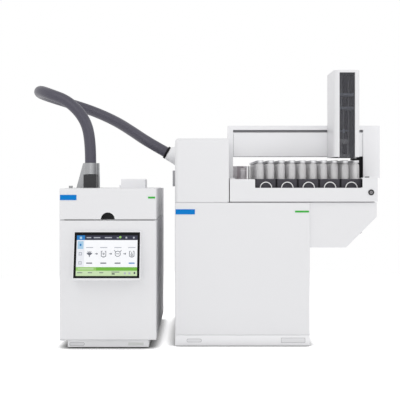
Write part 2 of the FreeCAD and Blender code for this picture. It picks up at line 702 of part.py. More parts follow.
def make_door_liner():
    """Stainless plate with a shallow plug that closes the oven."""
    rim = s.casing_wall + s.gasket_width
    flange = block("liner_flange", (oven_left - rim, door_back, s.oven_floor - rim),
                   (oven_right + rim, door_back + s.sheet, oven_top + rim))
    gap = s.plug_clearance + s.sheet
    plug = block("liner_plug", (oven_left + gap, door_back, s.oven_floor + gap),
                 (oven_right - gap, s.casing_front + s.plug_depth, oven_top - gap))
    finish(join("door_liner", flange, plug))
    seat = s.plug_clearance
    ring = block("gasket_block", (oven_left - seat - s.gasket_width, door_back + s.sheet,
                                  s.oven_floor - seat - s.gasket_width),
                 (oven_right + seat + s.gasket_width, s.casing_front - s.fit_gap / 3,
                  oven_top + seat + s.gasket_width))
    inside = block("gasket_inside", (oven_left - seat, door_back, s.oven_floor - seat),
                    (oven_right + seat, s.casing_front, oven_top + seat))
    finish(cut("door_gasket", ring, inside))


def make_screen():
    tilt = math.radians(float(s.screen_tilt))
    rise = s.screen_height * math.cos(tilt)
    run = s.screen_height * math.sin(tilt)
    left = casing_middle - s.screen_width / 2 - s.screen_rim
    depth_top = s.screen_stand_off
    depth_low = depth_top + run
    body = new_body("screen_housing", (left, door_front, s.screen_top - rise - s.screen_chin))
    chin, top = s.screen_chin, s.screen_chin + rise + s.screen_rim
    profile = outline(body, "screen_profile", "YZ", [
        (0, 0), (-depth_low + s.screen_rim, 0), (-depth_low - s.screen_lip, chin / 2), (-depth_low, chin),
        (-depth_top, chin + rise), (-depth_top + s.screen_lip, top), (0, top)])
    case = pad(body, "screen_case", profile, s.screen_width + s.screen_rim * 2)
    top_edge = edges_on(case, "x", z=float(top), y=float(-depth_top + s.screen_lip))
    rounded(body, "screen_corners", case, top_edge, s.screen_rim / 2)
    pocket = feature_block(body, "screen_pocket", "Subtractive", (s.screen_rim, 0, 0),
                           (s.screen_rim + s.screen_width, s.screen_glass, s.screen_height))
    turn = FreeCAD.Rotation(X, -float(s.screen_tilt))
    place(pocket, (s.screen_rim, -depth_low, chin), turn)
    finish(body)
    glass = doc.addObject("Part::Box", "screen_glass")
    place(glass, (casing_middle - s.screen_width / 2, door_front - depth_low, s.screen_top - rise), turn)
    bind(glass, Length=s.screen_width, Width=s.screen_glass, Height=s.screen_height)
    finish(glass)


# Oven inside
def make_insulation():
    outer = block("wool_outer", (s.casing_left + s.casing_wall, s.casing_front + s.sheet,
                                 s.casing_bottom + s.casing_wall),
                  (casing_right - s.casing_wall, bulkhead_front, casing_top - s.casing_wall))
    inner = block("wool_inner", (oven_left - s.sheet, s.casing_front, s.oven_floor - s.sheet),
                  (oven_right + s.sheet, oven_back + s.sheet, oven_top + s.sheet))
    tools = [inner, rod("wool_shaft_hole", (casing_middle, oven_back, oven_middle), "y",
                        s.shaft_radius + s.hole_clearance, bulkhead_front - oven_back)]
    for name, x, y, radius in (("inlet", inlet_x, s.inlet_y, s.inlet_radius),
                               ("detector", detector_x, s.detector_y, s.detector_radius)):
        tools.append(rod(f"wool_{name}_hole", (x, y, oven_top), "z", radius + s.hole_clearance,
                         casing_top - s.casing_wall - oven_top))
    finish(cut("oven_insulation", outer, *tools))


def make_oven_liner():
    corner = (oven_left - s.sheet, s.casing_front, s.oven_floor - s.sheet)
    body = new_body("oven_liner", corner)
    tub = s.oven_width + s.sheet * 2
    side = (s.casing_width - s.casing_wall * 2 - tub) / 2
    below = corner[2] - s.casing_bottom - s.casing_wall
    above = casing_top - s.casing_wall - corner[2]
    feature_block(body, "tub_block", "Additive", (0, 0, 0),
                  (tub, s.oven_depth + s.sheet, s.oven_height + s.sheet * 2))
    feature_block(body, "tub_flange", "Additive", (-side, 0, -below), (tub + side, s.sheet, above))
    feature_block(body, "tub_hollow", "Subtractive", (s.sheet, 0, s.sheet),
                  (s.sheet + s.oven_width, s.oven_depth, s.sheet + s.oven_height))
    feature_bore(body, "tub_shaft_hole", (tub / 2, s.oven_depth, s.sheet + s.oven_height / 2), "y",
                 s.shaft_radius + s.hole_clearance, s.sheet)
    port_holes(body, corner, s.sheet + s.oven_height, s.sheet)
    finish(body)


FAN_BLADES = 8
HUB_SHARE, BLADE_START_SHARE = 2.5, 0.45
GRILLE_SLOTS = 12
SLOT_START_SHARE, SLOT_END_SHARE, OUTLET_SHARE = 0.3, 0.85, 0.7


def make_fan():
    """Radial fan on its shaft, with its middle on the oven's axis."""
    start = oven_back - s.shroud_depth + s.sheet + s.fan_gap
    body = new_body("fan_impeller", (casing_middle, start, oven_middle))
    disc = body.newObject("PartDesign::AdditiveCylinder", "fan_disc")
    place(disc, (0, s.fan_blade_depth, 0), TURNS["y"])
    bind(disc, Radius=s.fan_radius, Height=s.sheet)
    hub = body.newObject("PartDesign::AdditiveCylinder", "fan_hub")
    place(hub, (0, 0, 0), TURNS["y"])
    bind(hub, Radius=s.shaft_radius * HUB_SHARE, Height=s.fan_blade_depth)
    shaft = body.newObject("PartDesign::AdditiveCylinder", "fan_shaft")
    place(shaft, (0, s.fan_blade_depth, 0), TURNS["y"])
    bind(shaft, Radius=s.shaft_radius, Height=bay_front + s.motor_length / 2 - start - s.fan_blade_depth)
    blade = feature_block(body, "fan_blade", "Additive", (s.fan_radius * BLADE_START_SHARE, 0, -s.sheet / 2),
                          (s.fan_radius, s.fan_blade_depth, s.sheet / 2))
    blades = body.newObject("PartDesign::PolarPattern", "fan_blades")
    blades.Originals = [blade]
    blades.Axis = (origin_feature(body, "Y_Axis"), [""])
    blades.Angle = 360
    blades.Occurrences = FAN_BLADES
    body.Tip = blades
    finish(body)


def make_shroud():
    """Sheet box over the fan with a ring of intake slots, open at its sides for the hot air."""
    half_width = s.oven_width / 2 - s.shroud_side_gap
    half_height = s.oven_height / 2 - s.shroud_end_gap
    corner = (casing_middle, oven_back - s.shroud_depth, oven_middle)
    body = new_body("fan_shroud", corner)
    feature_block(body, "shroud_block", "Additive", (-half_width, 0, -half_height),
                  (half_width, s.shroud_depth, half_height))
    feature_block(body, "shroud_hollow", "Subtractive", (-half_width + s.sheet, s.sheet, -half_height + s.sheet),
                  (half_width - s.sheet, s.shroud_depth, half_height - s.sheet))
    window = half_height * OUTLET_SHARE
    feature_block(body, "side_outlets", "Subtractive", (-half_width, s.sheet * 4, -window),
                  (half_width, s.shroud_depth - s.sheet * 4, window))
    slot = feature_block(body, "intake_slot", "Subtractive",
                         (s.fan_radius * SLOT_START_SHARE, 0, -s.intake_slot_width / 2),
                         (s.fan_radius * SLOT_END_SHARE, s.sheet, s.intake_slot_width / 2))
    slots = body.newObject("PartDesign::PolarPattern", "intake_slots")
    slots.Originals = [slot]
    slots.Axis = (origin_feature(body, "Y_Axis"), [""])
    slots.Angle = 360
    slots.Occurrences = GRILLE_SLOTS
    body.Tip = slots
    finish(body)


FLANGE_SHARE = 1.15


def make_motor():
    body = rod("motor_can", (casing_middle, bay_front, oven_middle), "y", s.motor_radius, s.motor_length)
    plate = s.motor_radius * FLANGE_SHARE
    flange = block("motor_flange", (casing_middle - plate, bay_front, oven_middle - plate),
                   (casing_middle + plate, bay_front + s.sheet * 2, oven_middle + plate))
    bore = rod("motor_bore", (casing_middle, bay_front, oven_middle), "y",
               s.shaft_radius + s.fit_gap, s.motor_length / 2 + s.fit_gap)
    finish(cut("fan_motor", join("motor_body", body, flange), bore))


HEATER_SPANS = 12


def make_heater():
    """Heating ring of straight spans round the fan, on four stand-offs from the oven's back."""
    start = oven_back - s.shroud_depth / 2
    rings = []
    for name, radius in (("outer", s.heater_radius), ("inner", s.heater_radius - s.heater_section)):
        prism = doc.addObject("Part::Prism", f"heater_{name}")
        prism.Polygon = HEATER_SPANS
        place(prism, (casing_middle, start, oven_middle), TURNS["y"])
        bind(prism, Circumradius=radius, Height=s.heater_section)
        rings.append(prism)
    ring = cut("heater_ring", *rings)
    posts = []
    reach = s.heater_radius - s.heater_section / 2
    for number, (side, up) in enumerate(((1, 0), (-1, 0), (0, 1), (0, -1))):
        centre_x, centre_z = casing_middle + reach * side, oven_middle + reach * up
        half = s.heater_post / 2
        posts.append(block(f"heater_post_{number}", (centre_x - half, start, centre_z - half),
                           (centre_x + half, oven_back, centre_z + half)))
    finish(join("heater_coil", ring, *posts))


def make_column():
    """Capillary column wound on a wire basket that hangs from the shroud."""
    shroud_front = oven_back - s.shroud_depth
    coil_back = shroud_front - s.coil_gap
    coil_front = coil_back - s.coil_depth
    outer = rod("coil_outer", (casing_middle, coil_front, oven_middle), "y", s.coil_radius, s.coil_depth)
    inner = rod("coil_inner", (casing_middle, coil_front, oven_middle), "y",
                s.coil_radius - s.coil_wall, s.coil_depth)
    finish(cut("column_coil", outer, inner))
    bars = []
    reach = s.coil_radius - s.coil_wall - s.basket_gap
    for number, (side, up) in enumerate(((1, 0), (-1, 0), (0, 1), (0, -1))):
        low = (casing_middle + (reach - s.basket_bar) * side - s.basket_bar / 2 * abs(up),
               oven_middle + (reach - s.basket_bar) * up - s.basket_bar / 2 * abs(side))
        high = (casing_middle + reach * side + s.basket_bar / 2 * abs(up),
                oven_middle + reach * up + s.basket_bar / 2 * abs(side))
        x_low, x_high = min(low[0], high[0]), max(low[0], high[0])
        z_low, z_high = min(low[1], high[1]), max(low[1], high[1])
        bars.append(block(f"basket_bar_{number}", (x_low, coil_front, z_low), (x_high, shroud_front, z_high)))
    cross_back = coil_back - s.coil_depth / 2
    bars.append(block("basket_cross", (casing_middle - reach, cross_back, oven_middle - s.basket_bar / 2),
                      (casing_middle + reach, cross_back + s.basket_bar, oven_middle + s.basket_bar / 2)))
    bars.append(block("basket_upright", (casing_middle - s.basket_bar / 2, cross_back, oven_middle - reach),
                      (casing_middle + s.basket_bar / 2, cross_back + s.basket_bar, oven_middle + reach)))
    finish(join("column_basket", *bars))


PORT_FLANGE_SHARE = 1.5


def make_ports():
    """Injection port and detector, which stand through the oven's ceiling."""
    start = oven_top - s.nut_drop - s.nut_height
    deck = s.casing_bottom + rim_height
    finish(turned_body("inlet_body", (inlet_x, s.inlet_y, start), [
        (s.nut_radius, s.nut_height),
        (s.inlet_radius, deck - start - s.nut_height),
        (s.inlet_radius * PORT_FLANGE_SHARE, s.inlet_flange),
        (s.inlet_radius, cover_top - deck - s.inlet_flange)]))
    finish(turned_body("detector_body", (detector_x, s.detector_y, start), [
        (s.nut_radius, s.nut_height),
        (s.detector_radius, deck - start - s.nut_height),
        (s.detector_radius * PORT_FLANGE_SHARE, s.detector_flange),
        (s.detector_radius, cover_top - deck - s.detector_flange + s.lid_height / 2)]))


def make_detector_lid():
    corner = (detector_x - s.lid_width / 2, s.detector_y - s.lid_depth / 2, cover_top)
    body = new_body("detector_cover", corner)
    slab = feature_block(body, "lid_block", "Additive", (0, 0, 0), (s.lid_width, s.lid_depth, s.lid_height))
    edges = edges_on(slab, z=float(s.lid_height))
    rounded(body, "lid_edges", slab, edges, s.cover_wall)
    feature_block(body, "lid_hollow", "Subtractive", (s.cover_wall, s.cover_wall, 0),
                  (s.lid_width - s.cover_wall, s.lid_depth - s.cover_wall, s.lid_height - s.cover_wall))
    feature_block(body, "lid_tab", "Additive", (-s.lid_tab_reach, s.cover_wall, 0),
                  (s.cover_wall, s.cover_wall + s.lid_tab_size, s.lid_tab_size))
    finish(body)


# Transfer line at the chromatograph's end
def make_line_bracket():
    """Black block over the injection port, and the bracket whose sleeve holds the line."""
    back = s.inlet_y + s.sleeve_radius
    heated = new_body("line_block", (inlet_x - s.block_width / 2, back - s.block_width, cover_top))
    slab = feature_block(heated, "block_slab", "Additive", (0, 0, 0), (s.block_width, s.block_width, s.block_height))
    rounded(heated, "block_edges", slab, edges_on(slab, "z"), s.block_round)
    finish(heated)
    body = new_body("line_bracket", (inlet_x, back, cover_top))
    profile = outline(body, "bracket_profile", "XZ", [
        (-s.bracket_left, 0), (s.bracket_right, 0), (s.bracket_right - s.bracket_lean_right, s.bracket_height),
        (-s.bracket_left + s.bracket_lean_left, s.bracket_height)])
    pad(body, "bracket_plate", profile, s.sheet * 2, back=True)
    sleeve = body.newObject("PartDesign::AdditiveCylinder", "line_sleeve")
    place(sleeve, (0, -s.sleeve_radius, s.bracket_height - s.sleeve_height))
    bind(sleeve, Radius=s.sleeve_radius, Height=s.sleeve_height)
    spine = s.sleeve_radius / 2
    feature_block(body, "sleeve_web", "Additive", (-spine, -s.sleeve_radius, s.bracket_height - s.sleeve_height),
                  (spine, s.sheet, s.bracket_height))
    finish(body)


# Heated transfer line, from the sleeve to the boot, each point chosen by hand
LINE_ROUTE = [
    (-448.6, -59, 580.5), (-448.6, -59, 655), (-467, -59, 729.5), (-526, -41, 791), (-591, -20, 816),
    (-638, 35, 835), (-655, 111, 834), (-629, 184, 826), (-571, 231, 810), (-485, 240, 783.5),
    (-394.5, 206, 743), (-327, 155, 700.5), (-267.5, 111, 659.5), (-202, 111, 623),
]
ARC_SHARE = 0.45


def tube_path(points):
    """Straight runs joined by tangent arcs, each as large as its two runs allow."""
    edges, radii = [], []
    start = points[0]
    for before, corner, after in zip(points, points[1:], points[2:]):
        back, ahead = before - corner, after - corner
        reach = ARC_SHARE * min(back.Length, ahead.Length)
        half_turn = (math.pi - back.getAngle(ahead)) / 2
        back.normalize()
        ahead.normalize()
        radius = reach / math.tan(half_turn)
        inward = (back + ahead).normalize()
        middle = corner + inward * (radius / math.cos(half_turn) - radius)
        edges.append(Part.LineSegment(start, corner + back * reach).toShape())
        edges.append(Part.Arc(corner + back * reach, middle, corner + ahead * reach).toShape())
        start = corner + ahead * reach
        radii.append(round(radius))
    edges.append(Part.LineSegment(start, points[-1]).toShape())
    return Part.Wire(edges), radii


def boot_shape(mouth, heading):
    """Cone on the sampler's wall with a nearly level axis, cut square to the line where the line enters it."""
    lean = math.radians(s.boot_lean)
    axis = FreeCAD.Vector(-math.cos(lean), 0, math.sin(lean))
    base = FreeCAD.Vector(body_left, mouth.y, s.boot_base_z) - axis * s.boot_radius
    slope = math.tan(math.radians(s.boot_flare))
    reach = s.boot_radius / slope
    cone = Part.makeCone(s.boot_radius * (1 + slope), 0, reach + s.boot_radius, base, axis)
    side = s.boot_radius * 4
    beyond_wall = Part.makeBox(side, side, side, FreeCAD.Vector(body_left, mouth.y - side / 2, s.boot_base_z - side / 2))
    ahead = Part.makeCylinder(side, side, mouth, -heading)
    return cone.cut(beyond_wall).cut(ahead)


def make_transfer_line():
    points = [FreeCAD.Vector(*point) for point in LINE_ROUTE]
    points[0] = FreeCAD.Vector(inlet_x, s.inlet_y, cover_top + s.bracket_height)
    path, radii = tube_path(points)
    section = Part.Wire(Part.makeCircle(s.line_radius, points[0], points[1] - points[0]))
    tube = doc.addObject("Part::Feature", "transfer_line")
    tube.Shape = path.makePipeShell([section], True, False)
    share = tube.Shape.Volume / (math.pi * float(s.line_radius) ** 2 * path.Length)
    print("transfer line radii", radii, "length", round(path.Length), "volume share", round(share, 4))
    finish(tube)
    heading = (points[-1] - points[-2]).normalize()
    collar = doc.addObject("Part::Feature", "line_collar")
    collar.Shape = Part.makeCylinder(s.collar_radius, s.collar_length, points[-1], heading)
    finish(collar)
    boot = doc.addObject("Part::Feature", "line_boot")
    boot.Shape = boot_shape(points[-1] + heading * s.collar_length, heading)
    finish(boot)
    cover_low = tray_bottom + s.side_cover_low
    cover_start = s.sampler_front + s.side_cover_start
    finish(block("side_cover", (body_left - s.side_cover_proud, cover_start, cover_low),
                 (body_left, cover_start + s.side_cover_depth, cover_low + s.side_cover_height)))


# Rear fittings and electronics
FITTING_COUNT = 3


def make_gas_fittings():
    fittings = []
    for number in range(FITTING_COUNT):
        start = (s.casing_left + s.fitting_start + s.fitting_pitch * number, casing_back, casing_top - s.fitting_drop)
        nut = doc.addObject("Part::Prism", f"fitting_nut_{number}")
        nut.Polygon = 6
        bind(nut, Circumradius=s.fitting_nut, Height=s.fitting_nut_length)
        place(nut, start, TURNS["y"])
        stub = rod(f"fitting_stub_{number}", start, "y", s.fitting_bore, s.fitting_length)
        fittings.append(join(f"gas_fitting_{number}", nut, stub))
    finish(group("gas_fittings", *fittings))


def make_mains_inlet():
    right = casing_right - s.socket_margin
    low = (right - s.socket_width, casing_back, s.casing_bottom + s.socket_level)
    high = (right, casing_back + s.socket_depth, low[2] + s.socket_height)
    recess = block("inlet_recess",
                   (low[0] + s.socket_rim_side, casing_back + s.socket_floor, low[2] + s.socket_rim_end),
                   (right - s.socket_rim_side, high[1], high[2] - s.socket_rim_end))
    finish(cut("mains_inlet", block("inlet_frame", low, high), recess))


# Parts on the control board: place along it and up it, then depth, height and how far they stand out
BOARD_PARTS = {
    "supply": (20, 20, 60, 70, 40),
    "relay": (95, 30, 40, 40, 14),
    "processor": (30, 120, 30, 30, 8),
    "heat_sink": (80, 110, 50, 60, 12),
    "terminals": (30, 190, 90, 40, 20),
}


def make_control_board():
    left = s.casing_left + s.casing_wall
    board_x = left + s.board_gap
    low = (board_x, bay_front + s.board_start, s.casing_bottom + s.board_level)
    face = board_x + s.board_thickness
    pieces = [block("board_sheet", low, (face, low[1] + s.board_depth, low[2] + s.board_height))]
    for y_name, y in (("front", low[1] + s.board_stand_inset),
                      ("back", low[1] + s.board_depth - s.board_stand_inset - s.board_stand)):
        for z_name, z in (("low", low[2] + s.board_stand_inset),
                          ("high", low[2] + s.board_height - s.board_stand_inset - s.board_stand)):
            pieces.append(block(f"board_stand_{y_name}_{z_name}", (left, y, z),
                                (board_x, y + s.board_stand, z + s.board_stand)))
    for name, (along, up, deep, tall, out) in BOARD_PARTS.items():
        pieces.append(block("board_" + name, (face, low[1] + along, low[2] + up),
                            (face + out, low[1] + along + deep, low[2] + up + tall)))
    finish(join("control_board", *pieces))


# Plates, bars and knobs
def thin_plate(name, left, front, low, width, height):
    """Plate that lies on a front face."""
    return block(name, (left, front - s.plate_thickness, low), (left + width, front, low + height))


def make_trim():
    finish(group("badge_plates",
                 thin_plate("casing_badge", s.casing_left + s.badge_inset, door_front, cover_bottom + s.badge_level,
                            s.badge_width, s.badge_height),
                 thin_plate("sampler_badge", body_left + s.badge_inset, s.sampler_front, body_top - s.badge_drop,
                            s.wide_badge_width, s.badge_height)))
    finish(group("status_bars",
                 thin_plate("casing_bar", casing_right - s.bar_inset - s.bar_width, door_front,
                            cover_bottom + s.bar_level, s.bar_width, s.bar_height),
                 thin_plate("sampler_bar", body_right - s.bar_inset - s.wide_bar_width, s.sampler_front,
                            body_top - s.bar_drop, s.wide_bar_width, s.bar_height)))
    top_knob = rod("top_knob", (s.casing_left + s.top_knob_inset, s.sampler_front + s.top_knob_inset, cover_top), "z",
                   s.top_knob_radius, s.top_knob_height)
    side_knob = doc.addObject("Part::Cylinder", "hang_knob")
    knob_x = body_right + hang_width - s.hang_chamfer / 2
    knob_z = body_top - s.hang_height + s.hang_chamfer / 2
    place(side_knob, (knob_x, s.sampler_front + s.side_knob_start, knob_z), FreeCAD.Rotation(Y, 135))
    bind(side_knob, Radius=s.side_knob_radius, Height=s.side_knob_height)
    finish(group("service_knobs", top_knob, side_knob))


# Sampler housings
def make_sampler_base():
    inset = s.sampler_base_inset
    finish(block("sampler_base", (body_left + inset, s.sampler_front + inset, s.sampler_foot_height),
                 (body_right - inset, body_back - inset, s.sampler_bottom)))


def make_sampler_front():
    body = new_body("sampler_front_panel", (body_left, s.sampler_front, s.sampler_bottom))
    slab = feature_block(body, "front_slab", "Additive", (0, 0, 0),
                         (s.sampler_width, s.sampler_front_panel, s.sampler_height))
    edges = edges_on(slab, "z", y=0) + edges_on(slab, "x", y=0)
    rounded(body, "front_edges", slab, edges, s.sampler_round)
    finish(body)


LEFT_VENT_COUNT = 8


def make_sampler_shell():
    """Closed housing with vent slots in its left side and a recess for cables at its back."""
    depth = s.sampler_depth - s.sampler_front_panel
    body = new_body("sampler_shell", (body_left, s.sampler_front + s.sampler_front_panel, s.sampler_bottom))
    feature_block(body, "shell_block", "Additive", (0, 0, 0), (s.sampler_width, depth, s.sampler_height))
    feature_block(body, "cable_recess", "Subtractive",
                  (s.cable_recess_start, depth - s.cable_recess_depth, s.cable_recess_low),
                  (s.cable_recess_start + s.cable_recess_width, depth, s.cable_recess_low + s.cable_recess_height))
    vent_end = depth - s.left_vent_margin
    vent = feature_block(body, "left_vent", "Subtractive", (0, vent_end - s.left_vent_length, s.cable_recess_low),
                         (s.left_vent_depth, vent_end, s.cable_recess_low + s.left_vent_height))
    repeated(body, "left_vents", vent, "Z_Axis", s.left_vent_pitch * (LEFT_VENT_COUNT - 1), LEFT_VENT_COUNT)
    finish(body)


def make_upper_housing():
    corner = (body_left, s.sampler_front, body_top)
    body = new_body("sampler_oven_cover", corner)
    inset = s.seam_inset
    feature_block(body, "upper_foot", "Additive", (inset, inset, 0),
                  (s.upper_width - inset, s.upper_depth - inset, s.upper_seam))
    slab = feature_block(body, "upper_block", "Additive", (0, 0, s.upper_seam),
                         (s.upper_width, s.upper_depth, s.upper_height + s.upper_seam))
    top = float(s.upper_height + s.upper_seam)
    edges = edges_on(slab, "y", x=0, z=top) + edges_on(slab, "x", y=0, z=top) + edges_on(slab, "z", x=0, y=0)
    rounded(body, "upper_edges", slab, edges, s.upper_round)
    finish(body)


def make_hang_housing():
    """Housing right of the body under the tray, with its lower corner cut at an angle."""
    corner = (body_right, s.sampler_front + s.hang_front_inset, body_top - s.hang_height)
    body = new_body("overhang_housing", corner)
    profile = outline(body, "hang_profile", "XZ", [
        (0, 0), (hang_width - s.hang_chamfer, 0), (hang_width, s.hang_chamfer),
        (hang_width, s.hang_height), (0, s.hang_height)])
    case = pad(body, "hang_block", profile, s.hang_depth, back=True)
    rounded(body, "hang_edges", case, edges_on(case, "y", z=0, x=float(hang_width - s.hang_chamfer))
            + edges_on(case, "y", x=float(hang_width), z=float(s.hang_chamfer)), s.sampler_round * 2)
    finish(body)


# Vial tray and racks
def make_tray():
    corner = (s.tray_left, s.sampler_front + s.tray_front_panel, body_top)
    depth = s.sampler_depth - s.tray_front_panel
    body = new_body("tray_body", corner)
    inset = s.seam_inset
    feature_block(body, "tray_foot", "Additive", (inset, inset, 0), (tray_width - inset, depth - inset, s.seam))
    floor = s.seam + s.tray_floor
    feature_block(body, "tray_floor", "Additive", (0, 0, s.seam), (tray_width, depth, floor))
    rail = s.rail_top - body_top
    profile_ends = ((0, "left"), (tray_width - s.rail_width, "right"))
    for start, name in profile_ends:
        feature_block(body, name + "_rail", "Additive", (start, 0, floor), (start + s.rail_width, depth, rail))
    feature_block(body, "back_housing", "Additive", (s.rail_width, s.tray_back_start - s.tray_front_panel, floor),
                  (tray_width - s.rail_width, depth, s.tray_back_top - body_top))
    finish(body)


def make_tray_front():
    """Front panel cut away so that the racks can be pulled out."""
    body = new_body("tray_front", (s.tray_left, s.sampler_front, tray_bottom))
    left_top = s.front_left_top - tray_bottom
    right_top = s.front_right_top - tray_bottom
    low = s.recess_bottom - tray_bottom
    recess_left = s.rack_left_margin - s.recess_left_margin
    recess_right = tray_width - s.rack_right_margin - s.recess_right_margin
    profile = outline(body, "front_profile", "XZ", [
        (0, 0), (tray_width, 0), (tray_width, right_top), (recess_right, right_top),
        (recess_right, low), (recess_left, low), (recess_left, left_top), (0, left_top)])
    panel = pad(body, "front_panel", profile, s.tray_front_panel, back=True)
    edges = (edges_on(panel, "y", x=float(recess_left)) + edges_on(panel, "y", x=float(recess_right)))
    rounded(body, "recess_edges", panel, edges, s.sampler_round)
    feature_bore(body, "button_hole", (button_x - s.tray_left, 0, s.button_z - tray_bottom), "y",
                 s.button_radius + s.fit_gap, s.tray_front_panel)
    finish(body)
    button = rod("park_button", (button_x, s.sampler_front - s.button_proud, s.button_z), "y",
                 s.button_radius, s.button_length)
    finish(button)


def make_racks():
    """Five lift-out racks, each with two rows of seats and a ring pull at its front."""
    for number in range(RACK_COUNT):
        left = rack_first + s.rack_pitch * number
        width = s.rack_pitch - s.rack_gap
        name = f"vial_rack_{number + 1}"
        body = new_body(name, (left, rack_front, tray_top))
        feature_block(body, name + "_block", "Additive", (0, 0, 0), (width, s.rack_length, s.rack_height))
        first = s.rack_pitch / 2 - s.vial_column_pitch / 2 - s.trough_width / 2
        for row in range(2):
            start = first + s.vial_column_pitch * row
            feature_block(body, f"{name}_seats_{row}", "Subtractive",
                          (start, s.rack_wall, s.rack_height - s.trough_depth),
                          (start + s.trough_width, s.rack_length - s.rack_wall, s.rack_height))
        centre = (s.rack_pitch / 2, -s.pull_ring_proud, s.recess_bottom - tray_top)
        disc = body.newObject("PartDesign::AdditiveCylinder", name + "_pull")
        place(disc, centre, TURNS["y"])
        bind(disc, Radius=s.pull_ring_radius, Height=s.pull_ring_proud)
        feature_bore(body, name + "_pull_hollow", centre, "y", s.pull_ring_radius - s.pull_ring_width,
                     s.pull_ring_proud)
        finish(body)


VIAL_SIDES = 6


def vial_shape():
    """One crimped headspace vial with few faces, standing on the origin."""
    levels = [(s.vial_radius, 0), (s.vial_radius, s.vial_body_height), (s.cap_radius, s.vial_neck_height),
              (s.cap_radius, s.vial_height)]
    rings = [[FreeCAD.Vector(radius * math.cos(math.tau * side / VIAL_SIDES),
                             radius * math.sin(math.tau * side / VIAL_SIDES), height)
              for side in range(VIAL_SIDES)] for radius, height in levels]
    faces = [Part.Face(Part.makePolygon(ring + ring[:1])) for ring in (rings[0], rings[-1])]
    for low, high in zip(rings, rings[1:]):
        for side in range(VIAL_SIDES):
            after = (side + 1) % VIAL_SIDES
            faces.append(Part.Face(Part.makePolygon([low[side], low[after], high[after], high[side], low[side]])))
    return Part.Solid(Part.Shell(faces))


def make_vials():
    """Two columns of vials in each rack."""
    vial = vial_shape()
    for number in range(RACK_COUNT):
        left = float(rack_first + s.rack_pitch * number + s.rack_pitch / 2 - s.vial_column_pitch / 2)
        copies = []
        for column in range(2):
            for row in range(int(s.vial_rows)):
                copy = vial.copy()
                copy.translate(FreeCAD.Vector(left + s.vial_column_pitch * column,
                                              s.sampler_front + s.vial_start + s.vial_pitch * row, vial_bottom))
                copies.append(copy)
        vials = doc.addObject("Part::Feature", f"vials_{number + 1}")
        vials.Shape = Part.makeCompound(copies)
        finish(vials)


PORT_COUNT = 3
BACK_PORTS = 2


def make_station():
    """Block of heated ports beside the racks, with a raised rear part, a closed well and a thin post."""
    front = rack_front + s.station_start
    right = s.station_left + s.station_width
    top = tray_top + s.station_height
    slab = block("station_block", (s.station_left, front, tray_top), (right, rack_front + s.rack_length, top))
    back_left = s.station_left + s.station_back_inset
    back_start = rack_front + s.station_back_start
    back = block("station_back", (back_left, back_start, top),
                 (back_left + s.station_back_width, back_start + s.station_back_depth, s.station_back_top))
    well = rod("station_well", (s.station_port_x, rack_front + s.station_well_start, top), "z",
               s.station_well_radius, s.station_well_top - top)
    post = rod("station_post", (right - s.station_post_gap, back_start, top), "z",
               s.station_post_radius, s.station_back_top - top)
    holes = []
    for number in range(PORT_COUNT):
        y = s.sampler_front + s.vial_start + s.vial_pitch * (1 + number)
        holes.append(rod(f"station_port_{number}", (s.station_port_x, y, top - s.trough_depth), "z",
                         s.station_port_radius, s.trough_depth))
    for number in range(BACK_PORTS):
        y = back_start + s.station_back_depth / BACK_PORTS * (number + 0.5)
        holes.append(rod(f"station_back_port_{number}",
                         (back_left + s.station_back_width / 2, y, s.station_back_top - s.trough_depth), "z",
                         s.station_port_radius, s.trough_depth))
    finish(cut("vial_station", join("station_body", slab, back, well, post), *holes))


# Gantry
def make_bridge():
    body = new_body("bridge_frame", (bridge_left, bridge_front, bridge_bottom))
    under = s.bridge_height - s.beam_height
    right = bridge_width - s.bridge_right_post
    profile = outline(body, "bridge_profile", "XZ", [
        (0, 0), (s.bridge_left_post, 0), (s.bridge_left_post, under), (right, under), (right, 0),
        (bridge_width, 0), (bridge_width, s.bridge_height), (0, s.bridge_height)])
    frame = pad(body, "bridge_block", profile, s.bridge_depth, back=True)
    rounded(body, "bridge_corners", frame, edges_on(frame, "y", z=float(s.bridge_height)), s.bridge_round)
    feature_block(body, "guide_slot", "Subtractive", (s.bridge_left_post, 0, s.slot_bottom),
                  (right, s.slot_depth, s.slot_bottom + s.slot_height))
    feature_block(body, "beam_recess", "Subtractive", (s.bridge_left_post, 0, under),
                  (right, s.beam_recess, s.slot_bottom))
    finish(body)
    reader_front = bridge_front + s.reader_start
    reader_right = bridge_left + right - s.reader_gap
    reader_left = reader_right - s.reader_width
    beam_bottom = bridge_bottom + under
    arm_top = beam_bottom - s.reader_arm_drop
    case = block("reader_case", (reader_left, reader_front, bridge_bottom + s.fit_gap),
                 (reader_right, reader_front + s.reader_depth, beam_bottom))
    arm = block("reader_head", (reader_left - s.reader_arm, reader_front, arm_top - s.reader_arm_height),
                (reader_left, reader_front + s.reader_depth, arm_top))
    finish(join("code_reader", case, arm))


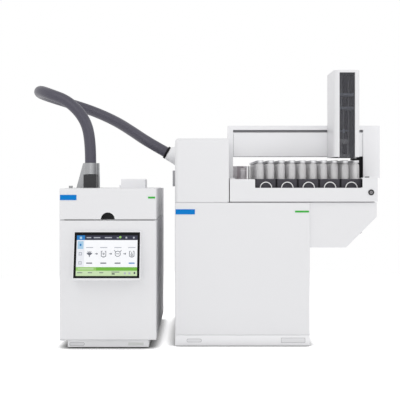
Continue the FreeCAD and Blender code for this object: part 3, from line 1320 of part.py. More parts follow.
def make_tower():
    depth = tower_back - tower_front
    body = new_body("tower_shell", (tower_left, tower_front, s.tower_bottom))
    slab = feature_block(body, "tower_block", "Additive", (0, 0, 0), (s.tower_width, depth, s.tower_height))
    soft = rounded(body, "tower_front_round", slab, edges_on(slab, "z", y=0), s.tower_round)
    doc.recompute()
    under = [f"Face{number}" for number, face in enumerate(soft.Shape.Faces, 1) if face.BoundBox.ZMax < 1e-6]
    hollow = body.newObject("PartDesign::Thickness", "tower_hollow")
    hollow.Base = (soft, under)
    hollow.Reversed = True
    bind(hollow, Value=s.tower_wall)
    start = (s.tower_width - s.window_width) / 2
    feature_block(body, "window_opening", "Subtractive", (start, 0, 0),
                  (start + s.window_width, s.tower_wall, s.tower_height - s.window_margin))
    level = bridge_bottom + s.slot_bottom - s.tower_bottom
    centre = s.tower_width / 2
    feature_block(body, "tower_runner", "Additive",
                  (centre - s.runner_width / 2, depth - s.tower_wall, level + s.slide_gap),
                  (centre + s.runner_width / 2, depth + s.slot_depth - s.slide_gap,
                   level + s.slot_height - s.slide_gap))
    finish(body)
    left = tower_left + start
    finish(block("tower_window", (left, tower_front, s.tower_bottom - s.window_drop),
                 (left + s.window_width, tower_front + s.window_glass, tower_top - s.window_margin)))


def make_lift():
    """Guide rods and screw in the tower, and the gripper that they carry."""
    ceiling = tower_top - s.tower_wall
    bottom = s.tower_bottom + s.guide_foot
    rods = [rod(f"guide_rod_{side}", (gripper_x + s.guide_spread * side, guide_line, bottom), "z",
                s.guide_radius, ceiling - bottom) for side in (-1, 1)]
    screw = rod("lift_screw", (gripper_x, guide_line, bottom), "z", s.screw_radius, ceiling - bottom)
    tie = block("lift_tie", (gripper_x - s.guide_spread - s.guide_radius, guide_line - s.guide_radius, bottom),
                (gripper_x + s.guide_spread + s.guide_radius, tower_back - s.tower_wall,
                 bottom + s.carriage_plate))
    finish(join("lift_guides", screw, tie, *rods))
    half = s.guide_spread + s.guide_radius * 2
    top = s.carriage_bottom + s.carriage_height
    front = gripper_line - s.finger_offset - s.finger_thickness
    plates = [block(f"carriage_plate_{name}", (gripper_x - half, front, level),
                    (gripper_x + half, guide_line + s.guide_radius * 2, level + s.carriage_plate))
              for name, level in (("low", s.carriage_bottom), ("high", top - s.carriage_plate))]
    web = block("carriage_web", (gripper_x - half, front, s.carriage_bottom),
                (gripper_x - half + s.carriage_plate / 2, guide_line + s.guide_radius * 2, top))
    bores = [rod(f"carriage_bore_{side}", (gripper_x + s.guide_spread * side, guide_line, s.carriage_bottom),
                 "z", s.guide_radius + s.fit_gap, s.carriage_height) for side in (-1, 1)]
    bores.append(rod("carriage_nut", (gripper_x, guide_line, s.carriage_bottom), "z",
                     s.screw_radius + s.fit_gap, s.carriage_height))
    finish(cut("lift_carriage", join("carriage_plates", web, *plates), *bores))
    head = s.finger_bottom + s.finger_length
    reach = s.finger_offset + s.finger_thickness
    pieces = [block("gripper_head", (gripper_x - reach, gripper_line - s.finger_width, head),
                    (gripper_x + reach, gripper_line + s.finger_width, head + s.head_height)),
              rod("lift_rod", (gripper_x, gripper_line, head + s.head_height), "z", s.lift_rod_radius,
                  s.carriage_bottom - head - s.head_height)]
    for side in (-1, 1):
        inner = gripper_x + s.finger_offset * side
        outer = gripper_x + reach * side
        pieces.append(block(f"finger_{side}", (min(inner, outer), gripper_line - s.finger_width / 2, s.finger_bottom),
                            (max(inner, outer), gripper_line + s.finger_width / 2, head)))
    finish(join("gripper_fingers", *pieces))


make_feet()
make_plinth()
make_casing()
make_rear_panel()
make_top_cover()
make_door()
make_hinges()
make_door_liner()
make_screen()
make_insulation()
make_oven_liner()
make_fan()
make_shroud()
make_motor()
make_heater()
make_column()
make_ports()
make_detector_lid()
make_line_bracket()
make_transfer_line()
make_gas_fittings()
make_mains_inlet()
make_control_board()
make_trim()
make_sampler_base()
make_sampler_front()
make_sampler_shell()
make_upper_housing()
make_hang_housing()
make_tray()
make_tray_front()
make_racks()
make_vials()
make_station()
make_bridge()
make_tower()
make_lift()
doc.recompute()

for item in doc.Objects:
    if "Invalid" in item.State or "Error" in item.State:
        raise RuntimeError(f"{item.Label} failed: {item.State}")
for item in sub_parts:
    if item.Shape.isNull() or not item.Shape.isValid():
        raise RuntimeError(f"{item.Label} has no valid shape")
for item in sub_parts:
    item.Shape.exportStep(f"parts/{item.Label}.step")
print(len(sub_parts), "sub-parts written")
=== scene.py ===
"""Dresses a bench gas chromatograph, its heated line and its headspace sampler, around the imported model."""
import math

import bpy
from mathutils import Matrix, Vector


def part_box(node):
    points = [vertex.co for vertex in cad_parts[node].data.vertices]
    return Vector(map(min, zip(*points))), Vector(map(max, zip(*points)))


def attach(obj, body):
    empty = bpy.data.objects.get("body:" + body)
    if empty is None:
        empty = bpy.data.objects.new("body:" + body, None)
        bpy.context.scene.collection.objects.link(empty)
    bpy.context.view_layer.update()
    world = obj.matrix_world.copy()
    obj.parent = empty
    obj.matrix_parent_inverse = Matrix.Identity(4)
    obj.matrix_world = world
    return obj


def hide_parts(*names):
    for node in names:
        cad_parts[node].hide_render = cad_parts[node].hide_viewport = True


bl_info = {
    "name": "Bench gas chromatograph",
    "version": (1, 0, 0),
    "blender": (4, 5, 0),
    "location": "View3D > Sidebar > Chromatograph",
    "description": "Finishes and small parts of a gas chromatograph with a headspace sampler",
    "category": "Object",
}

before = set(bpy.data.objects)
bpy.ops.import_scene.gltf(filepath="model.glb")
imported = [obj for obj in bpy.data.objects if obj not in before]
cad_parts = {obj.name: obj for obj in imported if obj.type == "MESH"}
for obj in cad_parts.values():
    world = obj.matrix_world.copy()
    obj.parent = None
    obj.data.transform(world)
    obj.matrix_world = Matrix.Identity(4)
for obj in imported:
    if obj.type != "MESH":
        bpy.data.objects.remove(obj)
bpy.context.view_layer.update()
MM = 0.001
RACKS = range(1, 6)
FRONT = Matrix.Rotation(math.radians(90), 4, "X")


def low(node):
    return Vector(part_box(node)[0])


def high(node):
    return Vector(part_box(node)[1])


def middle(node):
    return (low(node) + high(node)) / 2


# Sizes and colours that a user would change
def length(name, description, millimetres):
    return bpy.props.FloatProperty(name=name, description=description, default=millimetres * MM,
                                   unit="LENGTH")


def strength(name, description, share):
    return bpy.props.FloatProperty(name=name, description=description, default=share, min=0, soft_max=1,
                                   subtype="FACTOR")


def power(name, description, watts):
    return bpy.props.FloatProperty(name=name, description=description, default=watts, unit="POWER")


def colour(name, description, hex_value):
    return bpy.props.StringProperty(name=name, description=description, default=hex_value)


class CabinetSettings(bpy.types.PropertyGroup):
    """Colours of the two cabinets"""
    white: colour("Panels", "Moulded front panels and covers", "#E6E6E8")
    grey: colour("Sheet metal", "Powder coated casing", "#DEDEE1")
    # The side cover is as white as the boot: its mid grey is painted shade
    plinth: colour("Side cover", "Cover under the boot", "#AAAAAE")
    blue: colour("Plate", "Plain coloured plates", "#007BCB")
    green: colour("Status bar", "Lit status bars", "#40B040")


class ScreenSettings(bpy.types.PropertyGroup):
    """Touch screen on the oven door"""
    width: length("Width", "Width of the lit area", 187)
    height: length("Height", "Height of the lit area along its slope", 125)
    slope: length("Glass", "Height of the glass along its slope", 142)
    drop: length("Drop", "Lit area below the middle of the glass", 1.5)
    tilt: bpy.props.FloatProperty(name="Tilt", description="Slope from upright",
                                  default=math.radians(13), subtype="ANGLE")
    glass: colour("Glass", "Black edged glass", "#08080A")


class LineSettings(bpy.types.PropertyGroup):
    """Heated transfer line"""
    diameter: length("Diameter", "Outside of the sheath", 38)
    sheath: colour("Sheath", "Silicone sheath", "#4D4B57")


class TraySettings(bpy.types.PropertyGroup):
    """Vials, racks and gantry"""
    vial_radius: length("Vial radius", "Glass body", 11.25)
    vial_height: length("Vial height", "With its crimped cap", 78)
    rack: colour("Racks", "Dark moulded racks", "#3E3C43")
    ring: colour("Ring pull", "White ring on each rack", "#EDEDED")
    ring_level: length("Ring level", "Middle of the ring pulls above the bench", 498.3)
    ring_radius: length("Ring radius", "Outside of the white ring", 19.6)
    ring_width: length("Ring width", "Stroke of the white ring", 2.8)
    ring_shift: length("Ring shift", "Ring pulls to the right of the racks' middles", 0.4)
    smoke: colour("Window", "Smoked window of the lift tower", "#4A4A51")


class GantrySettings(bpy.types.PropertyGroup):
    """Bridge and lift tower"""
    slot_level: length("Slot level", "Guide slot above the bridge's feet", 151.6)
    slot_height: length("Slot height", "Guide slot", 8.3)
    slot_depth: length("Slot depth", "Guide slot", 12)
    recess: length("Beam recess", "Beam behind the posts' fronts", 1.5)
    beam_foot: length("Beam foot", "Beam's lower edge above the bridge's feet", 71)
    left_post: length("Left post", "Width of the bridge's left post", 17.4)
    right_post: length("Right post", "Width of the bridge's right post", 55.4)
    tower_wall: length("Tower wall", "Wall of the lift tower", 4)
    runner: length("Runner", "Length of the runner behind the tower", 11.5)
    window_depth: length("Window depth", "Tower's linings behind its front", 20)
    bracket_level: length("Bracket level", "Cable bracket above the gripper's tips", 87)
    bracket_width: length("Bracket width", "Cable bracket", 36)


class StationSettings(bpy.types.PropertyGroup):
    """Heating ports beside the racks"""
    well_x: length("Well from the left", "Closed well, from the block's left side", 32.4)
    well_y: length("Well from the front", "Closed well, from the block's front", 124)
    post_x: length("Post from the left", "Thin post, from the block's left side", 54.5)
    post_y: length("Post from the front", "Thin post, from the block's front", 186)
    depth: length("Depth", "Floor of the ports under the block's top", 42)
    plastic: colour("Block", "Warm grey block", "#EFEBEE")
    shade: colour("Port front", "Darker front of the rear part", "#C6BDC2")


class StageSettings(bpy.types.PropertyGroup):
    """Camera, lamps and floor"""
    distance: length("Camera distance", "Camera ahead of the sampler's front plane", 2500)
    camera_side: length("Camera side", "Camera to the right of the middle", -86)
    camera_height: length("Camera height", "Height of the level camera", 522.6)
    lens: bpy.props.FloatProperty(name="Lens", description="Focal length with a sensor 36 mm wide",
                                  default=71.43, unit="CAMERA")
    shift: bpy.props.FloatVectorProperty(name="Shift", description="Lens to the right and up", size=2,
                                         default=(0.004, -0.0495))
    world_light: strength("World light", "Even light from all round", 0.77)
    floor_light: strength("Floor light", "Glow of the white table", 0.85)
    contact: length("Contact shadow", "Reach of the dark line under the cabinets", 40)
    key_power: power("Key lamp", "Large lamp above and left", 14)
    side_power: power("Side lamp", "Large lamp from the right", 10)
    fill_power: power("Fill lamp", "Large lamp from the front", 8)


SETTINGS = {
    "gc_cabinet": CabinetSettings,
    "gc_screen": ScreenSettings,
    "gc_line": LineSettings,
    "gc_tray": TraySettings,
    "gc_gantry": GantrySettings,
    "gc_station": StationSettings,
    "gc_stage": StageSettings,
}


# Materials
def linear(hex_value):
    """sRGB hex colour to Blender's linear colour with alpha."""
    channels = [int(hex_value[start:start + 2], 16) / 255 for start in (1, 3, 5)]
    return [c / 12.92 if c <= 0.04045 else ((c + 0.055) / 1.055) ** 2.4 for c in channels] + [1.0]


def plug(tree, node, inputs):
    """Sets or links a node's inputs."""
    for name, value in inputs.items():
        if isinstance(value, bpy.types.NodeSocket):
            tree.links.new(value, node.inputs[name])
        else:
            node.inputs[name].default_value = value


def add(tree, kind, inputs=None, **settings):
    """Adds a node, gives it its settings, and sets or links its inputs."""
    made = tree.nodes.new(kind)
    for name, value in settings.items():
        setattr(made, name, value)
    plug(tree, made, inputs or {})
    return made


def new_material(name):
    material = bpy.data.materials.new(name)
    material.use_nodes = True
    tree = material.node_tree
    return material, tree, tree.nodes["Principled BSDF"], add(tree, "ShaderNodeTexCoord").outputs["Object"]


def shades(hex_value, darker, lighter=0.0):
    """A colour's darker and lighter shade, as the two inputs of a Mix node."""
    base = linear(hex_value)[:3]
    return {6: [channel * (1 - darker) for channel in base] + [1.0],
            7: [min(channel * (1 + lighter), 1.0) for channel in base] + [1.0]}


def grained(name, hex_value, grain_mm, roughness, shift=0.03, bump=0.12, **values):
    """Even finish with a fine grain: a slight change of tone, gloss and height at the grain's real size."""
    material, tree, shader, place = new_material(name)
    grain = add(tree, "ShaderNodeTexNoise",
                {"Vector": place, "Scale": 1 / (grain_mm * MM), "Detail": 3.0}).outputs["Fac"]
    broad = add(tree, "ShaderNodeTexNoise", {"Vector": place, "Scale": 6.0, "Detail": 2.0}).outputs["Fac"]
    both = add(tree, "ShaderNodeMath", {0: grain, 1: broad}, operation="ADD").outputs[0]
    half = add(tree, "ShaderNodeMath", {0: both, 1: 0.5}, operation="MULTIPLY").outputs[0]
    tone = add(tree, "ShaderNodeMix", {"Factor": half, **shades(hex_value, shift, shift)}, data_type="RGBA")
    gloss = add(tree, "ShaderNodeMapRange",
                {"Value": grain, "To Min": roughness - 0.05, "To Max": roughness + 0.05})
    height = add(tree, "ShaderNodeBump", {"Height": grain, "Strength": bump, "Distance": 0.2 * MM})
    plug(tree, shader, {"Base Color": tone.outputs[2], "Roughness": gloss.outputs[0],
                        "Normal": height.outputs[0]})
    plug(tree, shader, {socket.replace("_", " "): value for socket, value in values.items()})
    return material


def moulded_abs(name, hex_value, roughness=0.42, gleam=0.5):
    """Injection moulded ABS: satin, with the tool's fine spark grain."""
    return grained(name, hex_value, 0.7, roughness, shift=0.012, bump=0.06, IOR=1.53,
                   Specular_IOR_Level=gleam)


def powder_coat(name, hex_value):
    """Powder coated steel: soft sheen over a fine orange peel."""
    return grained(name, hex_value, 1.4, 0.5, shift=0.02, bump=0.16, IOR=1.5)


def brushed(name, hex_value, roughness=0.32, across="z"):
    """Brushed metal: fine lines drawn one way, as coarse as they need to be to show."""
    material, tree, shader, place = new_material(name)
    stretch = {"x": (4, 900, 900), "y": (900, 4, 900), "z": (900, 900, 4)}[across]
    lines_at = add(tree, "ShaderNodeMapping", {"Vector": place, "Scale": stretch}).outputs[0]
    lines = add(tree, "ShaderNodeTexNoise", {"Vector": lines_at, "Scale": 1.0, "Detail": 2.0}).outputs["Fac"]
    tone = add(tree, "ShaderNodeMix", {"Factor": lines, **shades(hex_value, 0.14)}, data_type="RGBA")
    gloss = add(tree, "ShaderNodeMapRange",
                {"Value": lines, "To Min": roughness - 0.08, "To Max": roughness + 0.08})
    height = add(tree, "ShaderNodeBump", {"Height": lines, "Strength": 0.1, "Distance": 0.1 * MM})
    plug(tree, shader, {"Base Color": tone.outputs[2], "Roughness": gloss.outputs[0],
                        "Normal": height.outputs[0], "Metallic": 1.0})
    return material


def clear_glass(name, hex_value, alpha):
    """Clear borosilicate or acrylic: thin, glossy, seen through by its alpha."""
    material, tree, shader, place = new_material(name)
    streak = add(tree, "ShaderNodeTexNoise", {"Vector": place, "Scale": 60.0, "Detail": 1.0}).outputs["Fac"]
    tone = add(tree, "ShaderNodeMix", {"Factor": streak, **shades(hex_value, 0.06)}, data_type="RGBA")
    plug(tree, shader, {"Base Color": tone.outputs[2], "Roughness": 0.05, "IOR": 1.5, "Alpha": alpha})
    return material


def lit(name, hex_value, glow):
    """Backlit field of a display or a status bar: its own even light under a clear front. On a plain plate
    the glow is painted light.
    """
    material, tree, shader, place = new_material(name)
    streak = add(tree, "ShaderNodeTexNoise", {"Vector": place, "Scale": 40.0, "Detail": 1.0}).outputs["Fac"]
    tone = add(tree, "ShaderNodeMix", {"Factor": streak, **shades(hex_value, 0.05)}, data_type="RGBA")
    plug(tree, shader, {"Base Color": tone.outputs[2], "Emission Color": tone.outputs[2],
                        "Emission Strength": glow, "Roughness": 0.3, "Specular IOR Level": 0.1})
    return material


MATERIALS = {}


def make_materials(scene):
    cabinet, tray, station = scene.gc_cabinet, scene.gc_tray, scene.gc_station
    MATERIALS.update({
        # Moulded plastic: white, even and satin on the covers, dull and dark on the racks and linings; the
        # dark and grey linings are painted shade in gaps, slots and hollows
        "abs_white": moulded_abs("ABS, white moulded", cabinet.white),
        # The same white ABS painted lighter: painted light on the parts that the lamps reach less
        "abs_white_painted_light": moulded_abs("ABS, bright white moulded", "#F3F3F5"),
        "blank": moulded_abs("ABS, pale grey satin", "#DADCDA", 0.3),
        "rack": moulded_abs("ABS, dark moulded", tray.rack, 0.5, 0.3),
        # Black of the collar, and of the dark strips painted as shade in the gaps beside the racks, in the
        # cut-away and inside the tower
        "black_and_painted_shade": moulded_abs("ABS, black moulded", "#1B1A1E", 0.55, 0.1),
        "ring": moulded_abs("ABS, white inlay", tray.ring, 0.35),
        "station": moulded_abs("ABS, warm grey moulded", station.plastic, 0.5),
        "station_shade": moulded_abs("ABS, mauve grey moulded", station.shade, 0.5),
        "button": moulded_abs("ABS, black moulded gloss", "#17171A", 0.3),
        # Black painted as the shade in hollows: the finger hole, the screws' sockets and the rear sockets
        "lining": moulded_abs("ABS, black matt", "#161618", 0.7),
        # Grey of the slot's belt, also painted as the shade on the slot's walls
        "slot": moulded_abs("ABS, grey matt", "#A4A4A8", 0.6),
        "groove": moulded_abs("ABS, shaded groove", "#9C9C9F", 0.6),
        "mark": moulded_abs("ABS, grey moulded", "#8C898C", 0.5),
        "stop": moulded_abs("Polyurethane, black moulded", "#111114", 0.6, 0.1),
        # Coated sheet metal: light, with a soft sheen that shows the bends
        "coat_grey": powder_coat("Powder coat, light grey", cabinet.grey),
        # Mid grey painted on the white side cover as its shade
        "coat_side_shade": powder_coat("Powder coat, mid grey", cabinet.plinth),
        "motor": powder_coat("Powder coat, dark grey", "#55585C"),
        "carriage": powder_coat("Powder coat, blue grey", "#D4DDF0"),
        # Bare metal: bright streaks along the way in which it was drawn, brushed or turned
        "steel": brushed("Stainless steel, brushed", "#C6C7C9"),
        "sleeve": brushed("Stainless steel, drawn sleeve", "#ABACAE", 0.36, "x"),
        "aluminium": brushed("Aluminium, satin anodised", "#A8A9AB", 0.4),
        "caps": brushed("Aluminium, crimped cap", "#DEDEE0", 0.35),
        "wire": brushed("Resistance wire, oxidised", "#7A6A5A", 0.5),
        "brass": brushed("Brass, turned", "#C8A050", 0.3),
        # Fibres: rough and dull, with an open surface that swallows the light
        "wool": grained("Ceramic wool, pressed", "#D9D0BE", 2.0, 0.95, shift=0.12, bump=0.8),
        "rope": grained("Glass rope, braided", "#3A3836", 1.6, 0.95, shift=0.3, bump=0.9),
        # Rubber and enamel: dark, the sheath with a long soft highlight
        "rubber": grained("Rubber, moulded", "#1C1C1D", 0.9, 0.8, shift=0.1, bump=0.3),
        "sheath": grained("Silicone rubber, extruded", scene.gc_line.sheath, 1.2, 0.36, shift=0.05,
                          bump=0.08, IOR=1.45),
        "black": grained("Black enamel, baked", "#28282B", 0.9, 0.45, shift=0.1, bump=0.2),
        # Wound amber column and green board, only seen with the oven open or the covers off
        "column": grained("Polyimide coated silica, wound", "#8A5A22", 0.8, 0.3, shift=0.25, bump=0.6),
        "circuit": grained("Circuit board laminate", "#1E5A38", 3.0, 0.5, shift=0.2, bump=0.3),
        # Lit fields: flat clear colours that hardly change with the room's light. The blue plate is no lamp:
        # its faint glow is painted light.
        "blue": lit("Polycarbonate plate, blue", cabinet.blue, 0.02),
        "green": lit("Light guide, green", cabinet.green, 0.08),
        "shown_white": lit("Display, white field", "#F4F5F8", 0.08),
        "shown_pale": lit("Display, pale grey field", "#E9EBF1", 0.05),
        "shown_mid": lit("Display, mid grey mark", "#B6B9C2", 0.03),
        "shown_dark": lit("Display, dark header", "#3A3B4A", 0.02),
        "shown_grey": lit("Display, grey drawing", "#6B6F79", 0.02),
        "shown_blue": lit("Display, blue tile", "#2F7DC0", 0.04),
        "shown_sky": lit("Display, light blue tile", "#A9CCE4", 0.04),
        "shown_green": lit("Display, green bar", "#74B548", 0.04),
        "shown_light_green": lit("Display, light green bar", "#97C86E", 0.04),
        "shown_pale_green": lit("Display, pale green footer", "#C9DFB4", 0.04),
        # Glass and acrylic: clear vials with a pale filling, the smoked window and the screen's black edge
        "screen": grained("Cover glass, black backed", scene.gc_screen.glass, 4.0, 0.12, shift=0.05,
                          bump=0.0, Specular_IOR_Level=0.12),
        "smoke": clear_glass("Acrylic, smoked", tray.smoke, 0.38),
        "glass": clear_glass("Borosilicate glass, clear", "#EEEDEE", 0.5),
        "sample": clear_glass("Borosilicate glass, filled", "#F2EFF1", 0.85),
    })


# The plinths, the detector cover, the boot and the bridge take the white ABS painted lighter, as painted
# light
NODE_FINISH = {
    "base_plinth": "abs_white_painted_light", "rubber_feet": "rubber",
    "body_shell": "coat_grey", "rear_panel": "coat_grey",
    "top_cover": "abs_white", "oven_door": "abs_white", "door_liner": "steel", "door_gasket": "rope",
    "hinge_brackets": "steel", "screen_housing": "abs_white", "screen_glass": "screen",
    "oven_insulation": "wool", "oven_liner": "steel", "fan_shroud": "steel", "fan_impeller": "steel",
    "fan_motor": "motor", "heater_coil": "wire", "column_basket": "steel", "column_coil": "column",
    "inlet_body": "steel", "detector_body": "steel", "detector_cover": "abs_white_painted_light", "line_block": "black",
    "line_bracket": "sleeve", "gas_fittings": "brass", "mains_inlet": "rubber", "control_board": "circuit",
    "service_knobs": "aluminium", "badge_plates": "blue", "status_bars": "green", "line_boot": "abs_white_painted_light",
    # The side cover takes the mid grey that paints its shade
    "line_collar": "black_and_painted_shade", "side_cover": "coat_side_shade", "sampler_base": "abs_white_painted_light",
    "sampler_front_panel": "abs_white", "sampler_shell": "coat_grey", "sampler_oven_cover": "abs_white",
    "overhang_housing": "abs_white", "tray_body": "abs_white", "tray_front": "abs_white",
    "park_button": "button", "vial_station": "station", "bridge_frame": "abs_white_painted_light", "code_reader": "stop",
    "tower_shell": "abs_white", "tower_window": "smoke", "lift_guides": "steel", "lift_carriage": "carriage",
    "gripper_fingers": "aluminium", "transfer_line": "sheath",
}
NODE_FINISH.update({f"vial_rack_{number}": "rack" for number in RACKS})
NODE_FINISH.update({f"vials_{number}": "glass" for number in RACKS})


# Modelling by hand
def deselect():
    if bpy.context.object and bpy.context.object.mode == "EDIT":
        bpy.ops.object.mode_set(mode="OBJECT")
    bpy.ops.object.select_all(action="DESELECT")


def pick(pieces):
    """Selects these pieces alone, with the first one active."""
    deselect()
    for piece in pieces:
        piece.select_set(True)
    bpy.context.view_layer.objects.active = pieces[0]


def in_mm(*steps):
    """Radius and height of each step, given in mm, for start_turned."""
    return [(radius * MM, height * MM) for radius, height in steps]


def settle(piece, name, body, slot, *finishes):
    """Names a finished piece, puts its place in its mesh and lets it ride on its body."""
    pick([piece])
    bpy.ops.object.transform_apply(location=True, rotation=True, scale=True)
    piece.name = piece.data.name = name
    if finishes:
        piece.data.materials.clear()
    for finish in finishes:
        piece.data.materials.append(MATERIALS[finish])
    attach(piece, body)
    return piece


def modify(piece, kind, **settings):
    """Adds a modifier and applies it."""
    bpy.context.view_layer.objects.active = piece
    modifier = piece.modifiers.new(kind.title(), kind)
    for name, value in settings.items():
        setattr(modifier, name, value)
    bpy.ops.object.modifier_apply(modifier=modifier.name)


def start_block(corner, opposite, edge=0.0, segments=2):
    """Cube primitive between two corners, with its edges rounded."""
    deselect()
    corner, opposite = Vector(corner), Vector(opposite)
    bpy.ops.mesh.primitive_cube_add(size=1, location=(corner + opposite) / 2, scale=opposite - corner)
    piece = bpy.context.object
    bpy.ops.object.transform_apply(location=True, rotation=True, scale=True)
    if edge:
        modify(piece, "BEVEL", width=edge, segments=segments)
    return piece


def start_turned(centre, steps, sides=24, turn=None):
    """Circle primitive, extruded and scaled step by step along Z by (radius, height) pairs, then turned."""
    deselect()
    first_radius, first_height = steps[0]
    bpy.ops.mesh.primitive_circle_add(vertices=sides, radius=first_radius, location=(0, 0, first_height),
                                      fill_type="NGON" if first_radius > 0 else "NOTHING")
    piece = bpy.context.object
    bpy.ops.object.transform_apply(location=True, rotation=True, scale=True)
    bpy.ops.object.mode_set(mode="EDIT")
    bpy.ops.mesh.select_all(action="SELECT")
    for (radius, height), (next_radius, next_height) in zip(steps, steps[1:]):
        bpy.ops.mesh.extrude_region_move(TRANSFORM_OT_translate={"value": (0, 0, next_height - height)})
        ratio = next_radius / radius
        bpy.ops.transform.resize(value=(ratio, ratio, 1), center_override=(0, 0, next_height))
    bpy.ops.mesh.select_all(action="SELECT")
    bpy.ops.mesh.normals_make_consistent(inside=False)
    bpy.ops.object.mode_set(mode="OBJECT")
    piece.matrix_world = Matrix.Translation(centre) @ (turn or Matrix())
    return piece


def start_ring(centre, outer, inner, depth, sides=40, turn=None):
    """Flat ring round Z, from its centre plane."""
    deselect()
    bpy.ops.mesh.primitive_cylinder_add(vertices=sides, radius=outer, depth=depth, end_fill_type="NOTHING")
    piece = bpy.context.object
    modify(piece, "SOLIDIFY", thickness=outer - inner, offset=-1)
    piece.matrix_world = Matrix.Translation(centre) @ (turn or Matrix())
    return piece


def start_bar(start, end, width, depth):
    """Square bar between two points of a plane that faces the front."""
    start, end = Vector(start), Vector(end)
    run = end - start
    bar = start_block((0, -depth / 2, -width / 2), (run.length, depth / 2, width / 2))
    bar.matrix_world = Matrix.Translation(start) @ Matrix.Rotation(-math.atan2(run.z, run.x), 4, "Y")
    return bar


def painted(piece, finish):
    """Gives a piece its finish before it is joined to others."""
    piece.data.materials.append(MATERIALS[finish])
    return piece


def smooth(piece, degrees=35):
    pick([piece])
    bpy.ops.object.shade_smooth_by_angle(angle=math.radians(degrees))


def joined(pieces):
    """Joins pieces into the first one."""
    pick(pieces)
    bpy.ops.object.join()
    return bpy.context.object


def copies(piece, offsets):
    """Copies of a piece at the given offsets, each with its own mesh."""
    made = []
    for offset in offsets:
        copy = piece.copy()
        copy.data = piece.data.copy()
        copy.location = piece.location + Vector(offset)
        bpy.context.collection.objects.link(copy)
        made.append(copy)
    return made


class FinishCabinets(bpy.types.Operator):
    """Gives every carried over part of the frame its finish"""
    bl_idname = "chromatograph.finish_cabinets"
    bl_label = "Finish the cabinets"

    def execute(self, context):
        make_materials(context.scene)
        for name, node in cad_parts.items():
            material = MATERIALS[NODE_FINISH[name]]
            if not node.material_slots:
                node.data.materials.append(material)
            for slot in node.material_slots:
                slot.material = material
        return {"FINISHED"}


FLOOR_RADIUS = 12  # metres, past every edge of the view
FADE = 0.9, 1.9  # metres from the middle, where the floor turns into the white surround
CONTACT_POWER = 1.9  # how fast the dark line under the cabinets fades
LAMPS = (("Key lamp", "key_power", (-1.6, -2.2, 2.8), 2.2),
         ("Side lamp", "side_power", (2.4, -1.2, 2.2), 1.6),
         ("Fill lamp", "fill_power", (0.2, -3.6, 1.2), 2.4))
LAMP_AIM = Vector((0, 0, 0.4))


class AddStage(bpy.types.Operator):
    """Adds the floor, the lamps, the world and the camera"""
    bl_idname = "chromatograph.add_stage"
    bl_label = "Set the stage"

    def execute(self, context):
        scene = context.scene
        stage = scene.gc_stage
        scene.view_settings.view_transform = "Standard"
        self.add_world(scene, stage)
        self.add_floor(stage)
        self.add_lamps(stage)
        self.add_camera(scene, stage)
        return {"FINISHED"}

    def add_world(self, scene, stage):
        world = bpy.data.worlds.new("Studio")
        scene.world = world
        world.use_nodes = True
        tree = world.node_tree
        light = add(tree, "ShaderNodeMapRange",
                    {"Value": self.seen(tree), "To Min": stage.world_light, "To Max": 1.0})
        plug(tree, tree.nodes["Background"], {"Color": (1, 1, 1, 1), "Strength": light.outputs[0]})

    def seen(self, tree):
        """1 on the rays by which the camera sees a thing, straight on, in a gloss or through glass."""
        path = add(tree, "ShaderNodeLightPath").outputs
        direct = add(tree, "ShaderNodeMath", {0: path["Is Camera Ray"], 1: path["Is Glossy Ray"]},
                     operation="MAXIMUM").outputs[0]
        return add(tree, "ShaderNodeMath", {0: direct, 1: path["Is Transmission Ray"]},
                   operation="MAXIMUM").outputs[0]

    def add_floor(self, stage):
        """White paper that darkens close to the cabinets and turns into the white surround far off."""
        deselect()
        bpy.ops.mesh.primitive_circle_add(vertices=96, radius=FLOOR_RADIUS, fill_type="NGON",
                                          location=(0, 0, -0.2 * MM))
        floor = bpy.context.object
        floor.name = "floor"
        material, tree, shader, place = new_material("Paper, seamless white")
        fibre = add(tree, "ShaderNodeTexNoise", {"Vector": place, "Scale": 300.0}).outputs["Fac"]
        tone = add(tree, "ShaderNodeMix", {"Factor": fibre, 6: linear("#FAFAFA"), 7: linear("#FFFFFF")},
                   data_type="RGBA").outputs[2]
        near = add(tree, "ShaderNodeAmbientOcclusion", {"Distance": stage.contact}, samples=8).outputs["AO"]
        contact = add(tree, "ShaderNodeMath", {0: near, 1: CONTACT_POWER}, operation="POWER").outputs[0]
        shaded = add(tree, "ShaderNodeMix", {"Factor": contact, 6: (0, 0, 0, 1), 7: tone},
                     data_type="RGBA").outputs[2]
        glow = add(tree, "ShaderNodeMath", {0: self.seen(tree), 1: stage.floor_light},
                   operation="MULTIPLY").outputs[0]
        plug(tree, shader, {"Base Color": shaded, "Emission Color": shaded, "Emission Strength": glow,
                            "Roughness": 0.9})
        reach = add(tree, "ShaderNodeVectorMath", {0: place}, operation="LENGTH").outputs["Value"]
        far = add(tree, "ShaderNodeMapRange",
                  {"Value": reach, "From Min": FADE[0], "From Max": FADE[1]}).outputs[0]
        white = add(tree, "ShaderNodeEmission", {"Color": (1, 1, 1, 1), "Strength": 1.0}).outputs[0]
        mix = add(tree, "ShaderNodeMixShader", {0: far, 1: shader.outputs[0], 2: white})
        plug(tree, tree.nodes["Material Output"], {"Surface": mix.outputs[0]})
        floor.data.materials.append(material)

    def add_lamps(self, stage):
        for name, lamp_power, place, size in LAMPS:
            deselect()
            bpy.ops.object.light_add(type="AREA", location=place)
            lamp = bpy.context.object
            lamp.name = name
            lamp.data.size = size
            lamp.data.energy = getattr(stage, lamp_power)
            lamp.rotation_euler = (LAMP_AIM - Vector(place)).to_track_quat("-Z", "Y").to_euler()

    def add_camera(self, scene, stage):
        front = low("sampler_front_panel").y
        bpy.ops.object.camera_add(location=(stage.camera_side, front - stage.distance, stage.camera_height),
                                  rotation=(math.radians(90), 0, 0))
        camera = bpy.context.object
        camera.name = "Camera"
        camera.data.sensor_width = 36
        camera.data.lens = stage.lens
        camera.data.shift_x, camera.data.shift_y = stage.shift
        camera.data.clip_end = 50
        scene.camera = camera


